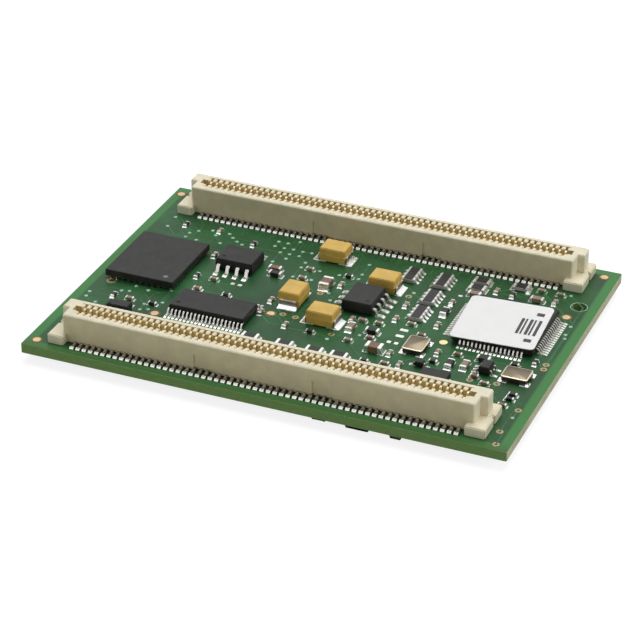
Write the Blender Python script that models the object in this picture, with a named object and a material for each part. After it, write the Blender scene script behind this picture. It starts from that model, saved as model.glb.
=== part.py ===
"""System on module: a small green circuit board with two tall board-to-board connectors.

The board lies flat with its component side up. The X axis runs along the long side, the Y axis
points away from the near connector, and the Z axis points up. The origin is at the middle of the
board's outline, in the plane of the flat chips under the board, on which the module rests.
"""

import math

import bmesh
import bpy
from mathutils import Matrix

MM = 0.001
MODULE = "system_on_module"
TOOLS = "cutters"

# Colours of the materials
GREEN_MASK = (0.04, 0.22, 0.09)
CREAM_PLASTIC = (0.78, 0.72, 0.55)
BLACK_MOULD = (0.05, 0.05, 0.055)
WHITE_PAPER = (0.85, 0.86, 0.87)
OCHRE_MOULD = (0.72, 0.45, 0.12)
WARM_STEEL = (0.6, 0.55, 0.5)
DARK_GLAZE = (0.1, 0.09, 0.09)
BROWN_CERAMIC = (0.45, 0.36, 0.28)

# Circuit board
BOARD_LENGTH = 59.5 * MM
BOARD_WIDTH = 42.8 * MM
BOARD_THICKNESS = 1.2 * MM
BOARD_CORNER = 0.4 * MM
MOUNTING_HOLE_DIAMETER = 1.9 * MM
MOUNTING_HOLE_FROM_RIGHT = 2.35 * MM
MOUNTING_HOLE_FROM_FAR = 9.8 * MM
SEAT_GAP = 0.02 * MM
SOLDER_SINK = 0.05 * MM
CUT_MARGIN = 0.5 * MM
WELD_DISTANCE = 0.001 * MM
FLAT_ANGLE = 0.001
HOLE_SIDES = 24

# Board-to-board connectors
CONTACTS_PER_ROW = 60
CONTACT_PITCH = 0.8 * MM
CONNECTOR_X = -0.15 * MM
NEAR_CONNECTOR_FROM_EDGE = 4.35 * MM
FAR_CONNECTOR_FROM_EDGE = 3.65 * MM
HOUSING_HEIGHT = 3.6 * MM
HOUSING_THICKNESS = 3.24 * MM
HOUSING_END = 1.7 * MM
HOUSING_KEY = 0.85 * MM
HOUSING_CORNER = 0.35 * MM
HOUSING_TOP_ROUND = 0.25 * MM
SLOT_WIDTH = 1.0 * MM
SLOT_DEPTH = 2.35 * MM
SLOT_END = 1.1 * MM
COMB_GAP = 0.3 * MM
COMB_REACH = 0.6 * MM
COMB_DEPTH = 0.9 * MM
FOOT_INNER = 1.0 * MM
FOOT_LENGTH = 2.25 * MM
FOOT_WIDTH = 5.8 * MM
FOOT_HEIGHT = 1.15 * MM
FOOT_NOTCH_WIDTH = 0.6 * MM
FOOT_NOTCH_DEPTH = 0.3 * MM
FOOT_NOTCH_FROM_MIDDLE = 0.9 * MM
TAIL_SPAN = 6.76 * MM
TAIL_WIDTH = 0.3 * MM
TAIL_THICKNESS = 0.18 * MM
TAIL_EMBED = 0.1 * MM
RECESS_WIDTH = 2.7 * MM
RECESS_HEIGHT = 1.7 * MM
RECESS_DEPTH = 0.2 * MM
RECESS_PLACES = (-8.0 * MM, 6.8 * MM)

# Moulded chips with bent leads
MOULD_DRAFT = 0.12 * MM
MOULD_STANDOFF = 0.1 * MM
LEAD_EMBED = 0.2 * MM
LEAD_SHOULDER_SHARE = 0.22
LEAD_ANKLE_SHARE = 0.52
LEAD_BEND_SHARE = 0.4

# Chip with leads on all four sides
QUAD_LEADS = 16
QUAD_PITCH = 0.5 * MM
QUAD_BODY_END = 1.25 * MM
QUAD_BODY = (QUAD_LEADS - 1) * QUAD_PITCH + 2 * QUAD_BODY_END
QUAD_LEAD_REACH = 1.0 * MM
QUAD_HEIGHT = 1.1 * MM
QUAD_LEAD_WIDTH = 0.22 * MM
QUAD_LEAD_THICKNESS = 0.13 * MM

# Paper label on the chip with leads on all four sides
LABEL_EXTRA_LENGTH = 0.3 * MM
LABEL_EXTRA_WIDTH = 0.05 * MM
LABEL_LENGTH = QUAD_BODY + LABEL_EXTRA_LENGTH
LABEL_WIDTH = QUAD_BODY + LABEL_EXTRA_WIDTH
LABEL_THICKNESS = 0.1 * MM
LABEL_CORNER = 0.6 * MM
LABEL_SHIFT = (-0.44 * MM, -0.47 * MM)
LABEL_TURN = math.radians(2.0)

# Thin chip with two rows of fine leads
FINE_LEADS = 20
FINE_PITCH = 0.5 * MM
FINE_BODY_END = 0.1 * MM
FINE_BODY_LENGTH = (FINE_LEADS - 1) * FINE_PITCH + 2 * FINE_BODY_END
FINE_BODY_WIDTH = 4.4 * MM
FINE_LEAD_REACH = 1.05 * MM
FINE_HEIGHT = 1.1 * MM
FINE_LEAD_WIDTH = 0.22 * MM
FINE_LEAD_THICKNESS = 0.13 * MM

# Eight-lead chip
EIGHT_LEADS = 4
EIGHT_PITCH = 1.27 * MM
EIGHT_BODY_END = 0.545 * MM
EIGHT_BODY_LENGTH = (EIGHT_LEADS - 1) * EIGHT_PITCH + 2 * EIGHT_BODY_END
EIGHT_BODY_WIDTH = 3.9 * MM
EIGHT_LEAD_REACH = 1.05 * MM
EIGHT_HEIGHT = 1.55 * MM
EIGHT_LEAD_WIDTH = 0.42 * MM
EIGHT_LEAD_THICKNESS = 0.2 * MM

# Small transistors and chips with three to six leads
SMALL_LEADS = 3
SMALL_PITCH = 0.95 * MM
SMALL_BODY_END = 0.5 * MM
SMALL_BODY_LENGTH = (SMALL_LEADS - 1) * SMALL_PITCH + 2 * SMALL_BODY_END
SMALL_BODY_WIDTH = 1.5 * MM
SMALL_LEAD_REACH = 0.55 * MM
SMALL_HEIGHT = 1.0 * MM
SMALL_LEAD_WIDTH = 0.4 * MM
SMALL_LEAD_THICKNESS = 0.13 * MM
TINY_LEADS = 3
TINY_PITCH = 0.65 * MM
TINY_BODY_END = 0.35 * MM
TINY_BODY_LENGTH = (TINY_LEADS - 1) * TINY_PITCH + 2 * TINY_BODY_END
TINY_BODY_WIDTH = 1.4 * MM
TINY_LEAD_REACH = 0.5 * MM
TINY_HEIGHT = 1.05 * MM
TINY_LEAD_WIDTH = 0.25 * MM
TINY_LEAD_THICKNESS = 0.12 * MM
DIODE_BODY_LENGTH = 1.1 * MM
DIODE_BODY_WIDTH = 0.85 * MM
DIODE_LEAD_REACH = 0.33 * MM
DIODE_HEIGHT = 0.7 * MM
DIODE_LEAD_WIDTH = 0.3 * MM

# Chips on a grid of solder balls
BALL_HEIGHT = 0.32 * MM
BALL_FIELD_INSET = 0.45 * MM
BALL_EMBED = 0.05 * MM
MEMORY_LENGTH = 9.0 * MM
MEMORY_WIDTH = 10.6 * MM
MEMORY_HEIGHT = 1.2 * MM
UNDERSIDE_HEIGHT = 1.2 * MM
PROCESSOR_SIDE = 19.0 * MM
RAM_LENGTH = 12.5 * MM
RAM_WIDTH = 9.5 * MM
FLASH_LENGTH = 8.0 * MM
FLASH_WIDTH = 10.0 * MM

# Leadless power chip
POWER_SIDE = 3.3 * MM
POWER_HEIGHT = 0.9 * MM
POWER_EDGE = 0.06 * MM

# Tantalum capacitor
TANTALUM_LENGTH = 3.46 * MM
TANTALUM_WIDTH = 2.76 * MM
TANTALUM_HEIGHT = 1.9 * MM
TANTALUM_TAB_WIDTH = 2.2 * MM
TANTALUM_TAB_HEIGHT = 1.0 * MM
TANTALUM_TAB_THICKNESS = 0.12 * MM
TANTALUM_TAB_REACH = 0.8 * MM

# Crystal in a metal-lidded package
CRYSTAL_LENGTH = 3.2 * MM
CRYSTAL_WIDTH = 2.5 * MM
CRYSTAL_BASE_HEIGHT = 0.35 * MM
CRYSTAL_HEIGHT = 0.72 * MM
CRYSTAL_LID_INSET = 0.14 * MM
CRYSTAL_CORNER = 0.3 * MM

# Array of four resistors
ARRAY_COUNT = 4
ARRAY_PITCH = 0.8 * MM
ARRAY_END = 0.4 * MM
ARRAY_LENGTH = (ARRAY_COUNT - 1) * ARRAY_PITCH + 2 * ARRAY_END
ARRAY_WIDTH = 1.6 * MM
ARRAY_HEIGHT = 0.55 * MM
ARRAY_PAD_WIDTH = 0.42 * MM
ARRAY_PAD_REACH = 0.18 * MM
ARRAY_PAD_LIFT = 0.03 * MM
ARRAY_PAD_ON_TOP = 0.3 * MM

# Two-ended chip capacitors and resistors
CHIP_CAP_LENGTH = 2.0 * MM
CHIP_CAP_WIDTH = 1.25 * MM
CHIP_CAP_HEIGHT = 0.9 * MM
CHIP_RESISTOR_LENGTH = 2.0 * MM
CHIP_RESISTOR_WIDTH = 1.25 * MM
CHIP_RESISTOR_HEIGHT = 0.5 * MM
MID_CHIP_LENGTH = 1.6 * MM
MID_CHIP_WIDTH = 0.8 * MM
MID_CHIP_HEIGHT = 0.6 * MM
TERMINAL_LENGTH = 0.35 * MM
TERMINAL_PROUD = 0.03 * MM
SMALL_CHIP_LENGTH = 1.0 * MM
SMALL_CHIP_WIDTH = 0.5 * MM
SMALL_CHIP_HEIGHT = 0.45 * MM

# Heights that follow from the sizes above
BOARD_BOTTOM = UNDERSIDE_HEIGHT + SEAT_GAP
BOARD_TOP = BOARD_BOTTOM + BOARD_THICKNESS
TOP_SEAT = BOARD_TOP + SEAT_GAP
UNDER_SEAT = BOARD_BOTTOM - SEAT_GAP

ALONG_X = 0.0
ALONG_Y = math.pi / 2

# The layout is a grid of steps that spreads with the board; a step is a millimetre on this one
LAYOUT_COLUMNS = 59.5
LAYOUT_ROWS = 42.8
STEP_X = BOARD_LENGTH / LAYOUT_COLUMNS
STEP_Y = BOARD_WIDTH / LAYOUT_ROWS

# Places on the component side, in steps from the board's middle, with the turn about Z
CONTROLLER_PLACE = (21.05, 3.35)
MEMORY_PLACE = (-23.25, 1.65)
FINE_PLACE = (-12.2, -6.1)
DRIVER_PLACES = ((-13.9, 5.3, ALONG_X), (3.6, 2.3, ALONG_Y))
TANTALUM_PLACES = (
    (-3.78, 11.45, ALONG_X),
    (-4.46, 0.0, ALONG_Y),
    (0.69, -3.28, ALONG_X),
    (4.47, 6.95, ALONG_X),
)
CRYSTAL_PLACES = ((12.93, -4.7, ALONG_Y), (25.8, -6.5, ALONG_X))
ARRAY_PLACES = ((6.5, 10.8), (10.55, 10.8), (10.55, 6.55), (10.55, 2.5))
SIX_LEAD_PLACE = (-22.65, -10.05, ALONG_X)
REGULATOR_PLACE = (22.1, -6.45, -ALONG_Y)
POWER_PLACE = (17.3, -11.15)
DIODE_PLACE = (14.68, -8.25, ALONG_X)
CHIP_CAP_PLACES = ((8.7, -7.2, ALONG_X), (-2.2, 4.6, ALONG_Y))
CHIP_RESISTOR_PLACES = (
    (-5.7, -10.1, ALONG_X),
    (-1.35, -10.1, ALONG_X),
    (2.4, -10.1, ALONG_X),
    (5.45, -10.1, ALONG_X),
    (14.9, 12.6, ALONG_X),
    (14.9, 10.8, ALONG_X),
    (19.7, 13.1, ALONG_X),
)
MID_CHIP_PLACES = (
    (4.3, -3.6, ALONG_Y),
    (17.85, -6.95, ALONG_Y),
    (19.55, -6.55, ALONG_Y),
    (21.1, -4.45, ALONG_X),
    (13.25, 3.9, ALONG_Y),
    (22.4, 10.9, ALONG_X),
    (15.1, 9.25, ALONG_X),
    (-9.45, 5.85, ALONG_X),
    (-8.9, 4.65, ALONG_X),
    (7.0, -3.5, ALONG_X),
)
SMALL_CHIP_PLACES_ALONG_X = (
    (-22.65, -7.3), (-19.6, -7.4), (-15.3, 0.8), (-16.2, -2.0), (-12.35, -2.1), (0.25, -6.2),
    (-5.55, 7.6), (-5.55, 5.2), (-0.5, 7.7), (4.95, -1.4), (7.0, -1.35), (7.24, -4.8),
    (5.1, -6.3), (10.6, 0.0), (10.9, -9.5), (12.55, -2.0), (15.85, -7.0), (17.95, -4.4),
    (24.75, -4.15), (22.85, -9.2), (26.6, -10.3), (26.55, -11.3), (26.2, -12.8),
    (24.6, 13.3), (22.2, 13.3), (8.5, -9.85), (21.3, -8.15),
)
SMALL_CHIP_PLACES_ALONG_Y = (
    (-24.8, -7.3), (-24.45, 12.2), (-19.8, 12.3), (-14.5, 10.7), (-17.8, 6.3), (-17.6, 0.8),
    (-3.05, -5.9), (-6.9, -1.2), (-6.95, -4.25), (-0.6, 5.4), (3.7, -1.7), (8.4, 0.4),
    (8.35, 3.85), (10.6, -7.2), (12.5, -9.1), (13.2, 6.5), (13.45, 0.9), (15.65, -4.95),
    (26.75, -2.75), (17.2, 11.2), (19.3, 11.0), (24.5, 11.2),
)

# Places under the board, in steps from the board's middle
PROCESSOR_PLACE = (-9.0, 0.0)
RAM_PLACES = ((11.5, 7.4), (11.5, -7.4))
FLASH_PLACE = (-24.2, 0.0)
UNDER_TRANSISTOR_PLACE = (11.75, -19.5)
UNDER_MID_CHIP_PLACE = (7.4, -20.35, ALONG_X)
UNDER_CHIP_CAP_PLACE = (16.5, -19.6, ALONG_Y)
UNDER_SMALL_CHIP_COLUMNS = (-15.0, -12.0, -9.0, -6.0, -3.0)
UNDER_SMALL_CHIP_ROWS = (-11.2, 11.2)


def clear_scene():
    """Remove whatever the scene holds."""
    for item in list(bpy.data.objects):
        bpy.data.objects.remove(item, do_unlink=True)


def make_collection(name):
    """Make a collection and link it to the scene."""
    collection = bpy.data.collections.new(name)
    bpy.context.scene.collection.children.link(collection)


def make_material(name, colour, roughness=0.5, metallic=0.0):
    """Return a Principled material of one colour."""
    material = bpy.data.materials.new(name)
    material.use_nodes = True
    material.diffuse_color = (*colour, 1.0)
    shader = material.node_tree.nodes["Principled BSDF"]
    shader.inputs["Base Color"].default_value = (*colour, 1.0)
    shader.inputs["Roughness"].default_value = roughness
    shader.inputs["Metallic"].default_value = metallic
    return material


def add_box(shape, low, high):
    """Add a closed box between two corners to a bmesh."""
    size = [high[axis] - low[axis] for axis in range(3)]
    middle = [(high[axis] + low[axis]) / 2 for axis in range(3)]
    matrix = Matrix.Translation(middle) @ Matrix.Diagonal((*size, 1.0))
    bmesh.ops.create_cube(shape, size=1.0, matrix=matrix)


def centred_box(shape, length, width, low_z, high_z):
    """Add a box centred on the Z axis."""
    add_box(shape, (-length / 2, -width / 2, low_z), (length / 2, width / 2, high_z))


def outline_mesh(name, points, thickness):
    """Return a closed plate: a flat outline in the XY plane, extruded about Z by its thickness."""
    curve = bpy.data.curves.new(name, "CURVE")
    curve.dimensions = "2D"
    curve.fill_mode = "BOTH"
    curve.extrude = thickness / 2
    spline = curve.splines.new("POLY")
    spline.points.add(len(points) - 1)
    for point, (x, y) in zip(spline.points, points):
        point.co = (x, y, 0.0, 1.0)
    spline.use_cyclic_u = True
    holder = bpy.data.objects.new(name, curve)
    bpy.context.scene.collection.objects.link(holder)
    graph = bpy.context.evaluated_depsgraph_get()
    mesh = bpy.data.meshes.new_from_object(holder.evaluated_get(graph))
    bpy.data.objects.remove(holder, do_unlink=True)
    shape = bmesh.new()
    shape.from_mesh(mesh)
    bmesh.ops.remove_doubles(shape, verts=shape.verts, dist=WELD_DISTANCE)
    bmesh.ops.dissolve_limit(shape, angle_limit=FLAT_ANGLE, verts=shape.verts, edges=shape.edges)
    bmesh.ops.recalc_face_normals(shape, faces=shape.faces)
    shape.to_mesh(mesh)
    shape.free()
    return mesh


def add_mesh(shape, mesh, matrix):
    """Add a moved copy of a mesh to a bmesh."""
    count = len(shape.verts)
    shape.from_mesh(mesh)
    shape.verts.ensure_lookup_table()
    bmesh.ops.transform(shape, matrix=matrix, verts=shape.verts[count:])


def as_mesh(name, shape):
    """Turn a bmesh into a mesh and free it."""
    mesh = bpy.data.meshes.new(name)
    shape.normal_update()
    shape.to_mesh(mesh)
    shape.free()
    return mesh


def combined_mesh(name, base, tool, operation):
    """Return one mesh made from a base and a tool by a Boolean."""
    tools = bpy.data.collections[TOOLS]
    tool_object = bpy.data.objects.new(name + "_tool", tool)
    tool_object.display_type = "WIRE"
    tool_object.hide_render = True
    tools.objects.link(tool_object)
    base_object = bpy.data.objects.new(name + "_base", base)
    tools.objects.link(base_object)
    modifier = base_object.modifiers.new("combine", "BOOLEAN")
    modifier.operation = operation
    modifier.solver = "EXACT"
    modifier.object = tool_object
    graph = bpy.context.evaluated_depsgraph_get()
    mesh = bpy.data.meshes.new_from_object(base_object.evaluated_get(graph))
    bpy.data.objects.remove(base_object, do_unlink=True)
    bpy.data.objects.remove(tool_object, do_unlink=True)
    mesh.name = name
    return mesh


def place(name, mesh, material, x, y, turn=ALONG_X, z=TOP_SEAT, under=False):
    """Add a named part, with its own material, to the module's collection."""
    item = bpy.data.objects.new(name, mesh)
    item.data.materials.clear()
    item.data.materials.append(material)
    item.location = (x, y, z)
    item.rotation_euler = (math.pi if under else 0.0, 0.0, turn)
    bpy.data.collections[MODULE].objects.link(item)


def moulded_body(length, width, height):
    """A moulded case: widest at its parting line, drawn in towards its top and bottom."""
    shape = bmesh.new()
    centred_box(shape, length, width, MOULD_STANDOFF, height)
    middle = (MOULD_STANDOFF + height) / 2
    everything = list(shape.verts) + list(shape.edges) + list(shape.faces)
    bmesh.ops.bisect_plane(shape, geom=everything, plane_co=(0, 0, middle), plane_no=(0, 0, 1))
    in_x = (length - 2 * MOULD_DRAFT) / length
    in_y = (width - 2 * MOULD_DRAFT) / width
    ends = [vert for vert in shape.verts if abs(vert.co.z - middle) > MOULD_STANDOFF / 2]
    bmesh.ops.scale(shape, vec=(in_x, in_y, 1.0), verts=ends)
    return as_mesh("moulded_body", shape)


def bent_lead(reach, rise, thickness, width):
    """A gull-wing lead: out of the case's side at X = 0, down a slope and flat on its pad."""
    shoulder = reach * LEAD_SHOULDER_SHARE
    ankle = reach * LEAD_ANKLE_SHARE
    bend = thickness * LEAD_BEND_SHARE
    points = (
        (-LEAD_EMBED, rise - thickness / 2),
        (shoulder - bend, rise - thickness / 2),
        (ankle - bend, 0.0),
        (reach, 0.0),
        (reach, thickness),
        (ankle + bend, thickness),
        (shoulder + bend, rise + thickness / 2),
        (-LEAD_EMBED, rise + thickness / 2),
    )
    mesh = outline_mesh("bent_lead", points, width)
    mesh.transform(Matrix.Rotation(math.pi / 2, 4, "X"))
    return mesh


def leads_on_side(shape, lead, places, from_middle, turn):
    """Add one lead at each place along a side, facing out at the given turn."""
    for along in places:
        step = Matrix.Translation((from_middle, along, 0.0))
        add_mesh(shape, lead, Matrix.Rotation(turn, 4, "Z") @ step)


def row_places(count, pitch):
    """Places of a centred row."""
    return [(index - (count - 1) / 2) * pitch for index in range(count)]


def two_row_chip(name, body, reach, height, lead, near_places, far_places):
    """A moulded chip with leads on its two long sides; body, lead are (length, width) pairs."""
    length, width = body
    lead_width, lead_thickness = lead
    rise = (MOULD_STANDOFF + height) / 2
    lead_shape = bent_lead(reach, rise, lead_thickness, lead_width)
    leads = bmesh.new()
    leads_on_side(leads, lead_shape, [-place for place in near_places], width / 2, -math.pi / 2)
    leads_on_side(leads, lead_shape, far_places, width / 2, math.pi / 2)
    return combined_mesh(name, moulded_body(length, width, height), as_mesh(name, leads), "UNION")


def end_lead_chip(name):
    """A moulded diode with one lead at each end."""
    rise = (MOULD_STANDOFF + DIODE_HEIGHT) / 2
    lead_shape = bent_lead(DIODE_LEAD_REACH, rise, TINY_LEAD_THICKNESS, DIODE_LEAD_WIDTH)
    leads = bmesh.new()
    for turn in (0.0, math.pi):
        leads_on_side(leads, lead_shape, [0.0], DIODE_BODY_LENGTH / 2, turn)
    body = moulded_body(DIODE_BODY_LENGTH, DIODE_BODY_WIDTH, DIODE_HEIGHT)
    return combined_mesh(name, body, as_mesh(name, leads), "UNION")


def three_lead_mesh():
    """A transistor with two leads on its near side and one on its far side."""
    body = (SMALL_BODY_LENGTH, SMALL_BODY_WIDTH)
    lead = (SMALL_LEAD_WIDTH, SMALL_LEAD_THICKNESS)
    near = (-SMALL_PITCH, SMALL_PITCH)
    return two_row_chip("transistor", body, SMALL_LEAD_REACH, SMALL_HEIGHT, lead, near, (0.0,))


def quad_chip(name):
    """A moulded chip with leads on all four sides."""
    rise = (MOULD_STANDOFF + QUAD_HEIGHT) / 2
    lead_shape = bent_lead(QUAD_LEAD_REACH, rise, QUAD_LEAD_THICKNESS, QUAD_LEAD_WIDTH)
    row = row_places(QUAD_LEADS, QUAD_PITCH)
    leads = bmesh.new()
    for side in range(4):
        turn = side * math.pi / 2
        leads_on_side(leads, lead_shape, row, QUAD_BODY / 2, turn)
    body = moulded_body(QUAD_BODY, QUAD_BODY, QUAD_HEIGHT)
    return combined_mesh(name, body, as_mesh(name, leads), "UNION")


def ball_grid_chip(name, length, width, height):
    """A flat chip standing on its field of solder balls."""
    body = bmesh.new()
    centred_box(body, length, width, BALL_HEIGHT, height)
    field = bmesh.new()
    inset = 2 * BALL_FIELD_INSET
    centred_box(field, length - inset, width - inset, 0.0, BALL_HEIGHT + BALL_EMBED)
    return combined_mesh(name, as_mesh(name, body), as_mesh(name, field), "UNION")


def rounded_rectangle(length, width, corner, steps=3):
    """Points of a rectangle with round corners."""
    points = []
    for quarter, (side_x, side_y) in enumerate(((1, 1), (-1, 1), (-1, -1), (1, -1))):
        centre_x = side_x * (length / 2 - corner)
        centre_y = side_y * (width / 2 - corner)
        for step in range(steps + 1):
            angle = (quarter + step / steps) * math.pi / 2
            points.append((centre_x + corner * math.cos(angle), centre_y + corner * math.sin(angle)))
    return points


def label_mesh():
    """A thin paper label with round corners, its underside at Z = 0."""
    points = rounded_rectangle(LABEL_LENGTH, LABEL_WIDTH, LABEL_CORNER)
    mesh = outline_mesh("label", points, LABEL_THICKNESS)
    mesh.transform(Matrix.Translation((0.0, 0.0, LABEL_THICKNESS / 2)))
    return mesh


def crystal_mesh():
    """A ceramic base with a raised metal lid, both with round corners."""
    base_points = rounded_rectangle(CRYSTAL_LENGTH, CRYSTAL_WIDTH, CRYSTAL_CORNER, steps=2)
    base = outline_mesh("crystal_base", base_points, CRYSTAL_BASE_HEIGHT)
    base.transform(Matrix.Translation((0.0, 0.0, CRYSTAL_BASE_HEIGHT / 2)))
    lid_length = CRYSTAL_LENGTH - 2 * CRYSTAL_LID_INSET
    lid_width = CRYSTAL_WIDTH - 2 * CRYSTAL_LID_INSET
    lid_points = rounded_rectangle(lid_length, lid_width, CRYSTAL_CORNER, steps=2)
    lid_low = CRYSTAL_BASE_HEIGHT / 2
    lid = outline_mesh("crystal_lid", lid_points, CRYSTAL_HEIGHT - lid_low)
    lid.transform(Matrix.Translation((0.0, 0.0, (CRYSTAL_HEIGHT + lid_low) / 2)))
    return combined_mesh("crystal", base, lid, "UNION")


def tantalum_mesh():
    """A moulded capacitor with a folded metal tab at each end."""
    body = moulded_body(TANTALUM_LENGTH, TANTALUM_WIDTH, TANTALUM_HEIGHT)
    tabs = bmesh.new()
    outer = TANTALUM_LENGTH / 2 + TANTALUM_TAB_THICKNESS
    for side in (-1, 1):
        ends = sorted((side * outer, side * (outer - TANTALUM_TAB_REACH)))
        low = (ends[0], -TANTALUM_TAB_WIDTH / 2, 0.0)
        high = (ends[1], TANTALUM_TAB_WIDTH / 2, TANTALUM_TAB_HEIGHT)
        add_box(tabs, low, high)
    return combined_mesh("tantalum", body, as_mesh("tabs", tabs), "UNION")


def array_mesh():
    """Four chip resistors in one block, with terminals along both long sides."""
    body = bmesh.new()
    centred_box(body, ARRAY_LENGTH, ARRAY_WIDTH, ARRAY_PAD_LIFT, ARRAY_HEIGHT)
    pads = bmesh.new()
    for side in (-1, 1):
        outer = ARRAY_WIDTH / 2 + ARRAY_PAD_REACH
        ends = sorted((side * outer, side * (ARRAY_WIDTH / 2 - ARRAY_PAD_ON_TOP)))
        for along in row_places(ARRAY_COUNT, ARRAY_PITCH):
            low = (along - ARRAY_PAD_WIDTH / 2, ends[0], 0.0)
            high = (along + ARRAY_PAD_WIDTH / 2, ends[1], ARRAY_HEIGHT + ARRAY_PAD_LIFT)
            add_box(pads, low, high)
    return combined_mesh("array", as_mesh("array", body), as_mesh("pads", pads), "UNION")


def two_ended_mesh(length, width, height):
    """A chip capacitor or resistor: a block between two end caps that stand a little proud."""
    body = bmesh.new()
    inner_width = width - 2 * TERMINAL_PROUD
    middle_length = length - TERMINAL_LENGTH
    centred_box(body, middle_length, inner_width, TERMINAL_PROUD, height - TERMINAL_PROUD)
    caps = bmesh.new()
    for side in (-1, 1):
        ends = sorted((side * length / 2, side * (length / 2 - TERMINAL_LENGTH)))
        add_box(caps, (ends[0], -width / 2, 0.0), (ends[1], width / 2, height))
    return combined_mesh("two_ended", as_mesh("middle", body), as_mesh("caps", caps), "UNION")


def power_chip_mesh():
    """A leadless square chip with slightly broken upper edges."""
    shape = bmesh.new()
    centred_box(shape, POWER_SIDE, POWER_SIDE, 0.0, POWER_HEIGHT)
    upper = [edge for edge in shape.edges if all(v.co.z > POWER_HEIGHT / 2 for v in edge.verts)]
    bmesh.ops.bevel(shape, geom=upper, offset=POWER_EDGE, segments=1, affect="EDGES")
    return as_mesh("power_chip", shape)


def key_outline(side):
    """Plan of the step that makes the far half of a housing longer and keys the mating half."""
    near = (CONTACTS_PER_ROW - 1) / 2 * CONTACT_PITCH + HOUSING_END
    far = near + HOUSING_KEY
    half = HOUSING_THICKNESS / 2
    points = (
        (near - HOUSING_KEY, 0.0),
        (far, 0.0),
        (far, half - HOUSING_CORNER),
        (far - HOUSING_CORNER, half),
        (near - HOUSING_KEY, half),
    )
    return points if side > 0 else tuple((-x, y) for x, y in reversed(points))


def foot_outline(side):
    """Plan of the foot at one end of a housing, with a notch in its outer side."""
    inner = (CONTACTS_PER_ROW - 1) / 2 * CONTACT_PITCH + FOOT_INNER
    outer = inner + FOOT_LENGTH
    half = FOOT_WIDTH / 2
    notch_low = -FOOT_NOTCH_FROM_MIDDLE
    notch_high = notch_low + FOOT_NOTCH_WIDTH
    points = (
        (inner, -half),
        (outer, -half),
        (outer, notch_low),
        (outer - FOOT_NOTCH_DEPTH, notch_low),
        (outer - FOOT_NOTCH_DEPTH, notch_high),
        (outer, notch_high),
        (outer, half),
        (inner, half),
    )
    return points if side > 0 else tuple((-x, y) for x, y in reversed(points))


def add_tails(shape):
    """Add the contact tails: flat strips that reach out from under both sides of a housing."""
    root = HOUSING_THICKNESS / 2 - RECESS_DEPTH - TAIL_EMBED
    for side in (-1, 1):
        ends = sorted((side * root, side * TAIL_SPAN / 2))
        for along in row_places(CONTACTS_PER_ROW, CONTACT_PITCH):
            low = (along - TAIL_WIDTH / 2, ends[0], 0.0)
            high = (along + TAIL_WIDTH / 2, ends[1], TAIL_THICKNESS)
            add_box(shape, low, high)


def housing_block():
    """The housing's main block with a step at each end, and its upper edges rounded off."""
    length = (CONTACTS_PER_ROW - 1) * CONTACT_PITCH + 2 * HOUSING_END
    plan = rounded_rectangle(length, HOUSING_THICKNESS, HOUSING_CORNER, steps=2)
    block = outline_mesh("block", plan, HOUSING_HEIGHT)
    keys = bmesh.new()
    for side in (-1, 1):
        add_mesh(keys, outline_mesh("key", key_outline(side), HOUSING_HEIGHT), Matrix.Identity(4))
    mesh = combined_mesh("housing", block, as_mesh("keys", keys), "UNION")
    shape = bmesh.new()
    shape.from_mesh(mesh)
    bmesh.ops.dissolve_limit(shape, angle_limit=FLAT_ANGLE, verts=shape.verts, edges=shape.edges)
    upper = [edge for edge in shape.edges if all(v.co.z > 0.0 for v in edge.verts)]
    rim = [edge for edge in upper if edge.calc_face_angle(0.0) > math.pi / 4]
    bmesh.ops.bevel(shape, geom=rim, offset=HOUSING_TOP_ROUND, segments=2, affect="EDGES")
    lift = Matrix.Translation((0.0, 0.0, HOUSING_HEIGHT / 2))
    bmesh.ops.transform(shape, matrix=lift, verts=shape.verts)
    return as_mesh("housing", shape)


def slot_cutter():
    """The mating slot, with one narrow gap in each wall for every contact."""
    shape = bmesh.new()
    top = HOUSING_HEIGHT + CUT_MARGIN
    places = row_places(CONTACTS_PER_ROW, CONTACT_PITCH)
    length = 2 * (places[-1] + SLOT_END)
    reach = SLOT_WIDTH / 2 + COMB_REACH
    overlap = SLOT_WIDTH / 4
    comb_low = HOUSING_HEIGHT - COMB_DEPTH
    centred_box(shape, length, SLOT_WIDTH, HOUSING_HEIGHT - SLOT_DEPTH, top)
    slot = as_mesh("slot", shape)
    comb = bmesh.new()
    for side in (-1, 1):
        ends = sorted((side * overlap, side * reach))
        for along in places:
            low = (along - COMB_GAP / 2, ends[0], comb_low)
            high = (along + COMB_GAP / 2, ends[1], top - CUT_MARGIN / 2)
            add_box(comb, low, high)
    return combined_mesh("slot_cutter", slot, as_mesh("comb", comb), "UNION")


def recess_cutter():
    """Shallow recesses low in both long faces of a housing."""
    shape = bmesh.new()
    half = HOUSING_THICKNESS / 2
    for side in (-1, 1):
        ends = sorted((side * (half - RECESS_DEPTH), side * (half + CUT_MARGIN)))
        for along in RECESS_PLACES:
            low = (along - RECESS_WIDTH / 2, ends[0], -CUT_MARGIN)
            high = (along + RECESS_WIDTH / 2, ends[1], RECESS_HEIGHT)
            add_box(shape, low, high)
    return as_mesh("recesses", shape)


def connector_mesh():
    """A housing with its feet, mating slot, recesses and two rows of contact tails."""
    cut = combined_mesh("housing_cut", housing_block(), slot_cutter(), "DIFFERENCE")
    cut = combined_mesh("housing_cut", cut, recess_cutter(), "DIFFERENCE")
    added = bmesh.new()
    for side in (-1, 1):
        foot = outline_mesh("foot", foot_outline(side), FOOT_HEIGHT)
        add_mesh(added, foot, Matrix.Translation((0.0, 0.0, FOOT_HEIGHT / 2)))
    add_tails(added)
    return combined_mesh("connector", cut, as_mesh("feet_and_tails", added), "UNION")


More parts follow.
